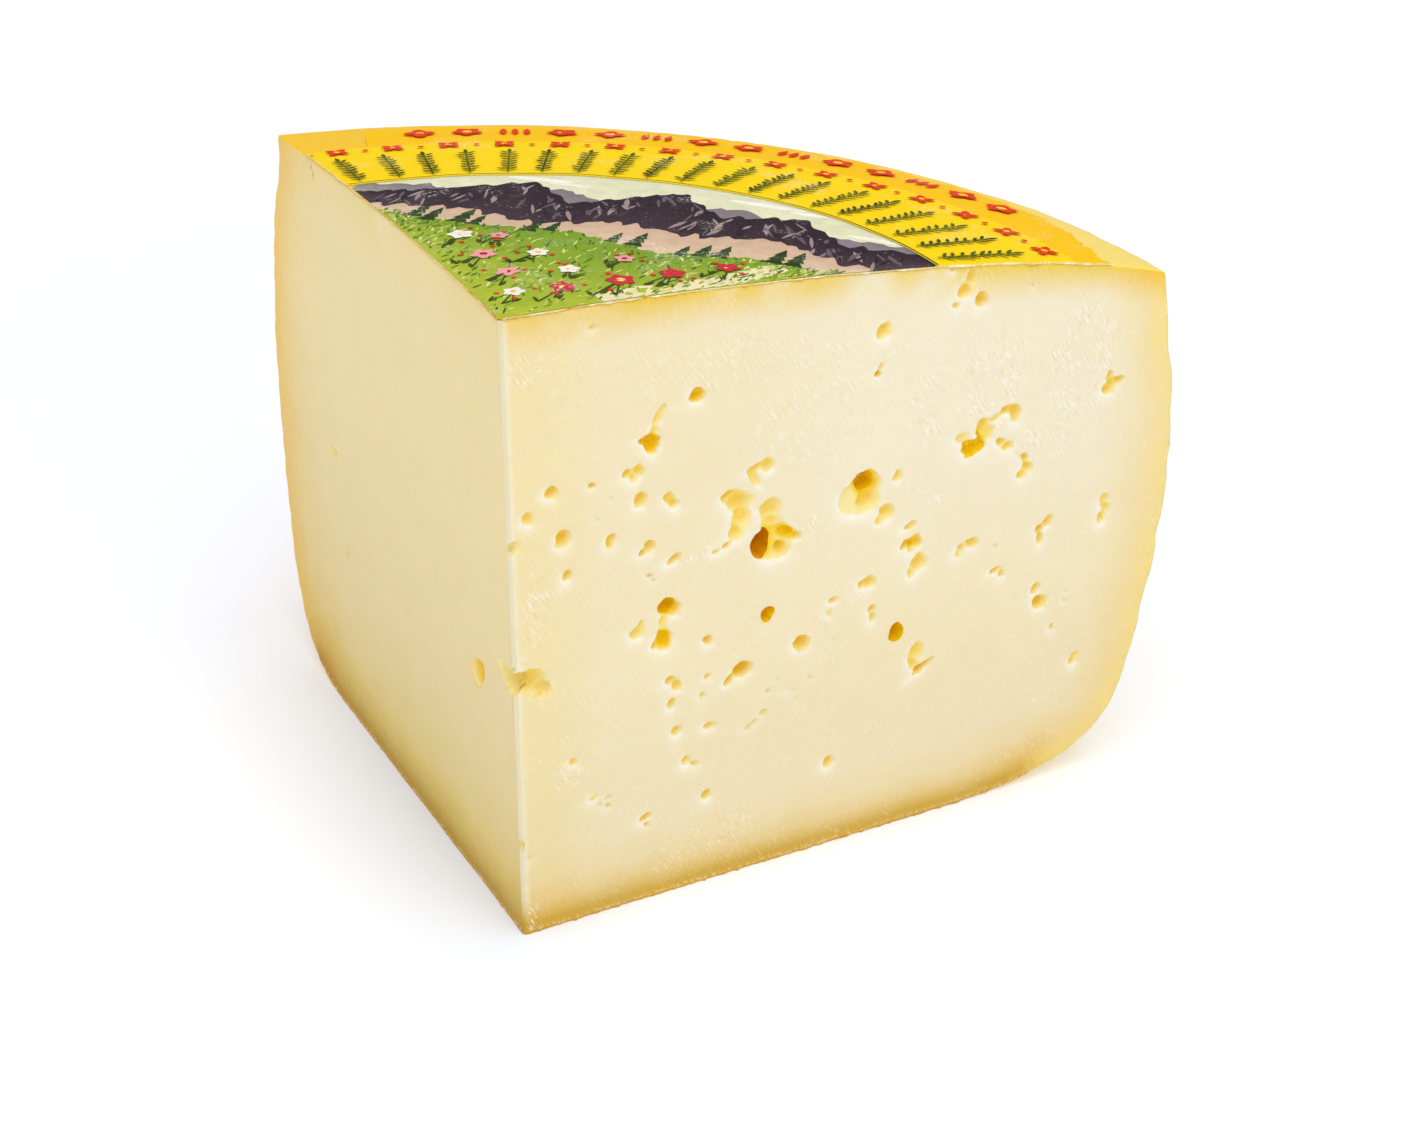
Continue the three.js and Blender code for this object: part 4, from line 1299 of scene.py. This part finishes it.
def label_look():
    look = Look("printed_paper")
    radius, to_cut, round_ = (look.value(name) for name in ("radius", "to_cut", "round"))
    ink = look.blend(look.noise(11, 3), LABEL_YELLOW, LABEL_YELLOW_PALE)
    ink = look.blend(look.step(radius, 131, 132.2), ink, BAND_ORANGE)
    ink = paper_wear(look, ink)
    ink = look.blend(look.step(to_cut, 0.25, 0.1), ink, PAPER_EDGE)
    torn = look.times(look.step(round_, 0.5, 0.3), look.step(look.noise(3, 5, 0.75), 0.46, 0.66))
    ink = look.blend(look.times(torn, look.step(to_cut, 0.6, 0.2)), ink, PAPER_WHITE)
    return paper_finish(look, ink)


def print_look():
    look = Look("label_ink")
    thickness = look.plus(0.78, look.times(look.noise(3.5, 4, 0.6), 0.44))
    washed = look.add("ShaderNodeHueSaturation", {"Color": look.value("ink", "Color"), "Value": thickness})
    return paper_finish(look, paper_wear(look, washed.outputs[0]))


# ---- Floor, light and camera ----
def make_floor():
    mesh = bpy.data.meshes.new("floor")
    half = FLOOR_SIZE / 2
    corners = [(-half, -half, 0), (half, -half, 0), (half, half, 0), (-half, half, 0)]
    mesh.from_pydata(corners, [], [(0, 1, 2, 3)])
    floor = add_object("floor", mesh)
    look = Look("floor")
    glow = look.step(look.length(look.place), *FLOOR_GLOW_REACH)
    glow = look.plus(look.times(glow, FLOOR_GLOW_FAR - FLOOR_GLOW_NEAR), FLOOR_GLOW_NEAR)
    # painted shadow: less glow in a long patch along the foot of the second cut
    shade_place = look.add("ShaderNodeMapping", {
        "Vector": look.place, "Location": FLOOR_SHADE_PLACE, "Scale": (FLOOR_SHADE_STRETCH, 1, 1),
        "Rotation": (0, 0, math.radians(FLOOR_SHADE_TURN)),
    }, vector_type="TEXTURE").outputs[0]
    shade = look.times(look.step(look.length(shade_place), *FLOOR_SHADE_REACH), FLOOR_SHADE)
    glow = look.times(glow, look.less(1.0, shade))
    floor.data.materials.append(look.finish(
        base_color=FLOOR_COLOUR, roughness=0.9, specular_ior_level=0.0,
        emission_color=FLOOR_GLOW_COLOUR, emission_strength=glow,
    ))


def direction(azimuth, elevation):
    """The way from the cheese to a viewer. Azimuth 0 is in front of it and 90 on its right."""
    azimuth, elevation = math.radians(azimuth), math.radians(elevation)
    reach = math.cos(elevation)
    return Vector((math.sin(azimuth) * reach, -math.cos(azimuth) * reach, math.sin(elevation)))


def make_light(name, azimuth, elevation, distance, size, power):
    """A soft square light that looks at the cheese."""
    light = bpy.data.lights.new(name, "AREA")
    light.size = size
    light.energy = power
    lamp = add_object(name, light)
    away = direction(azimuth, elevation)
    lamp.location = Vector((0, 0, WHEEL_HEIGHT / 2 * MM)) + away * distance
    lamp.rotation_euler = away.to_track_quat("Z", "Y").to_euler()


def make_world():
    world = bpy.data.worlds.new("studio")
    world.use_nodes = True
    background = world.node_tree.nodes["Background"]
    background.inputs["Color"].default_value = (1, 1, 1, 1)
    background.inputs["Strength"].default_value = WORLD_STRENGTH
    bpy.context.scene.world = world


def make_camera():
    """The camera, from where the foot of the front edge lies in its view."""
    azimuth = math.radians(CAMERA_AZIMUTH)
    forward = -direction(CAMERA_AZIMUTH, CAMERA_PITCH)
    right = Vector((math.cos(azimuth), math.sin(azimuth), 0))
    up = right.cross(forward)
    sideways, rise, depth = FOOT_IN_VIEW
    camera = add_object("camera", bpy.data.cameras.new("camera"))
    camera.data.lens = CAMERA_LENS
    camera.data.sensor_width = CAMERA_SENSOR
    camera.matrix_world = Matrix((right, up, -forward)).transposed().to_4x4()
    camera.location = Vector(AXIS) - (right * sideways + up * rise + forward * depth) * MM
    bpy.context.scene.camera = camera


make_camera()
make_world()
make_floor()
for lamp in LIGHTS:
    make_light(*lamp)

cheese = make_cheese()
cheese.data.materials.append(cheese_look())
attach(cheese, "root")
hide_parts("cheese")

label = make_label()
label.data.materials.append(label_look())
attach(label, "root")
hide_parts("label")

ink = make_print()
ink.data.materials.append(print_look())
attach(ink, "root")

bpy.context.scene.view_settings.view_transform = "Standard"
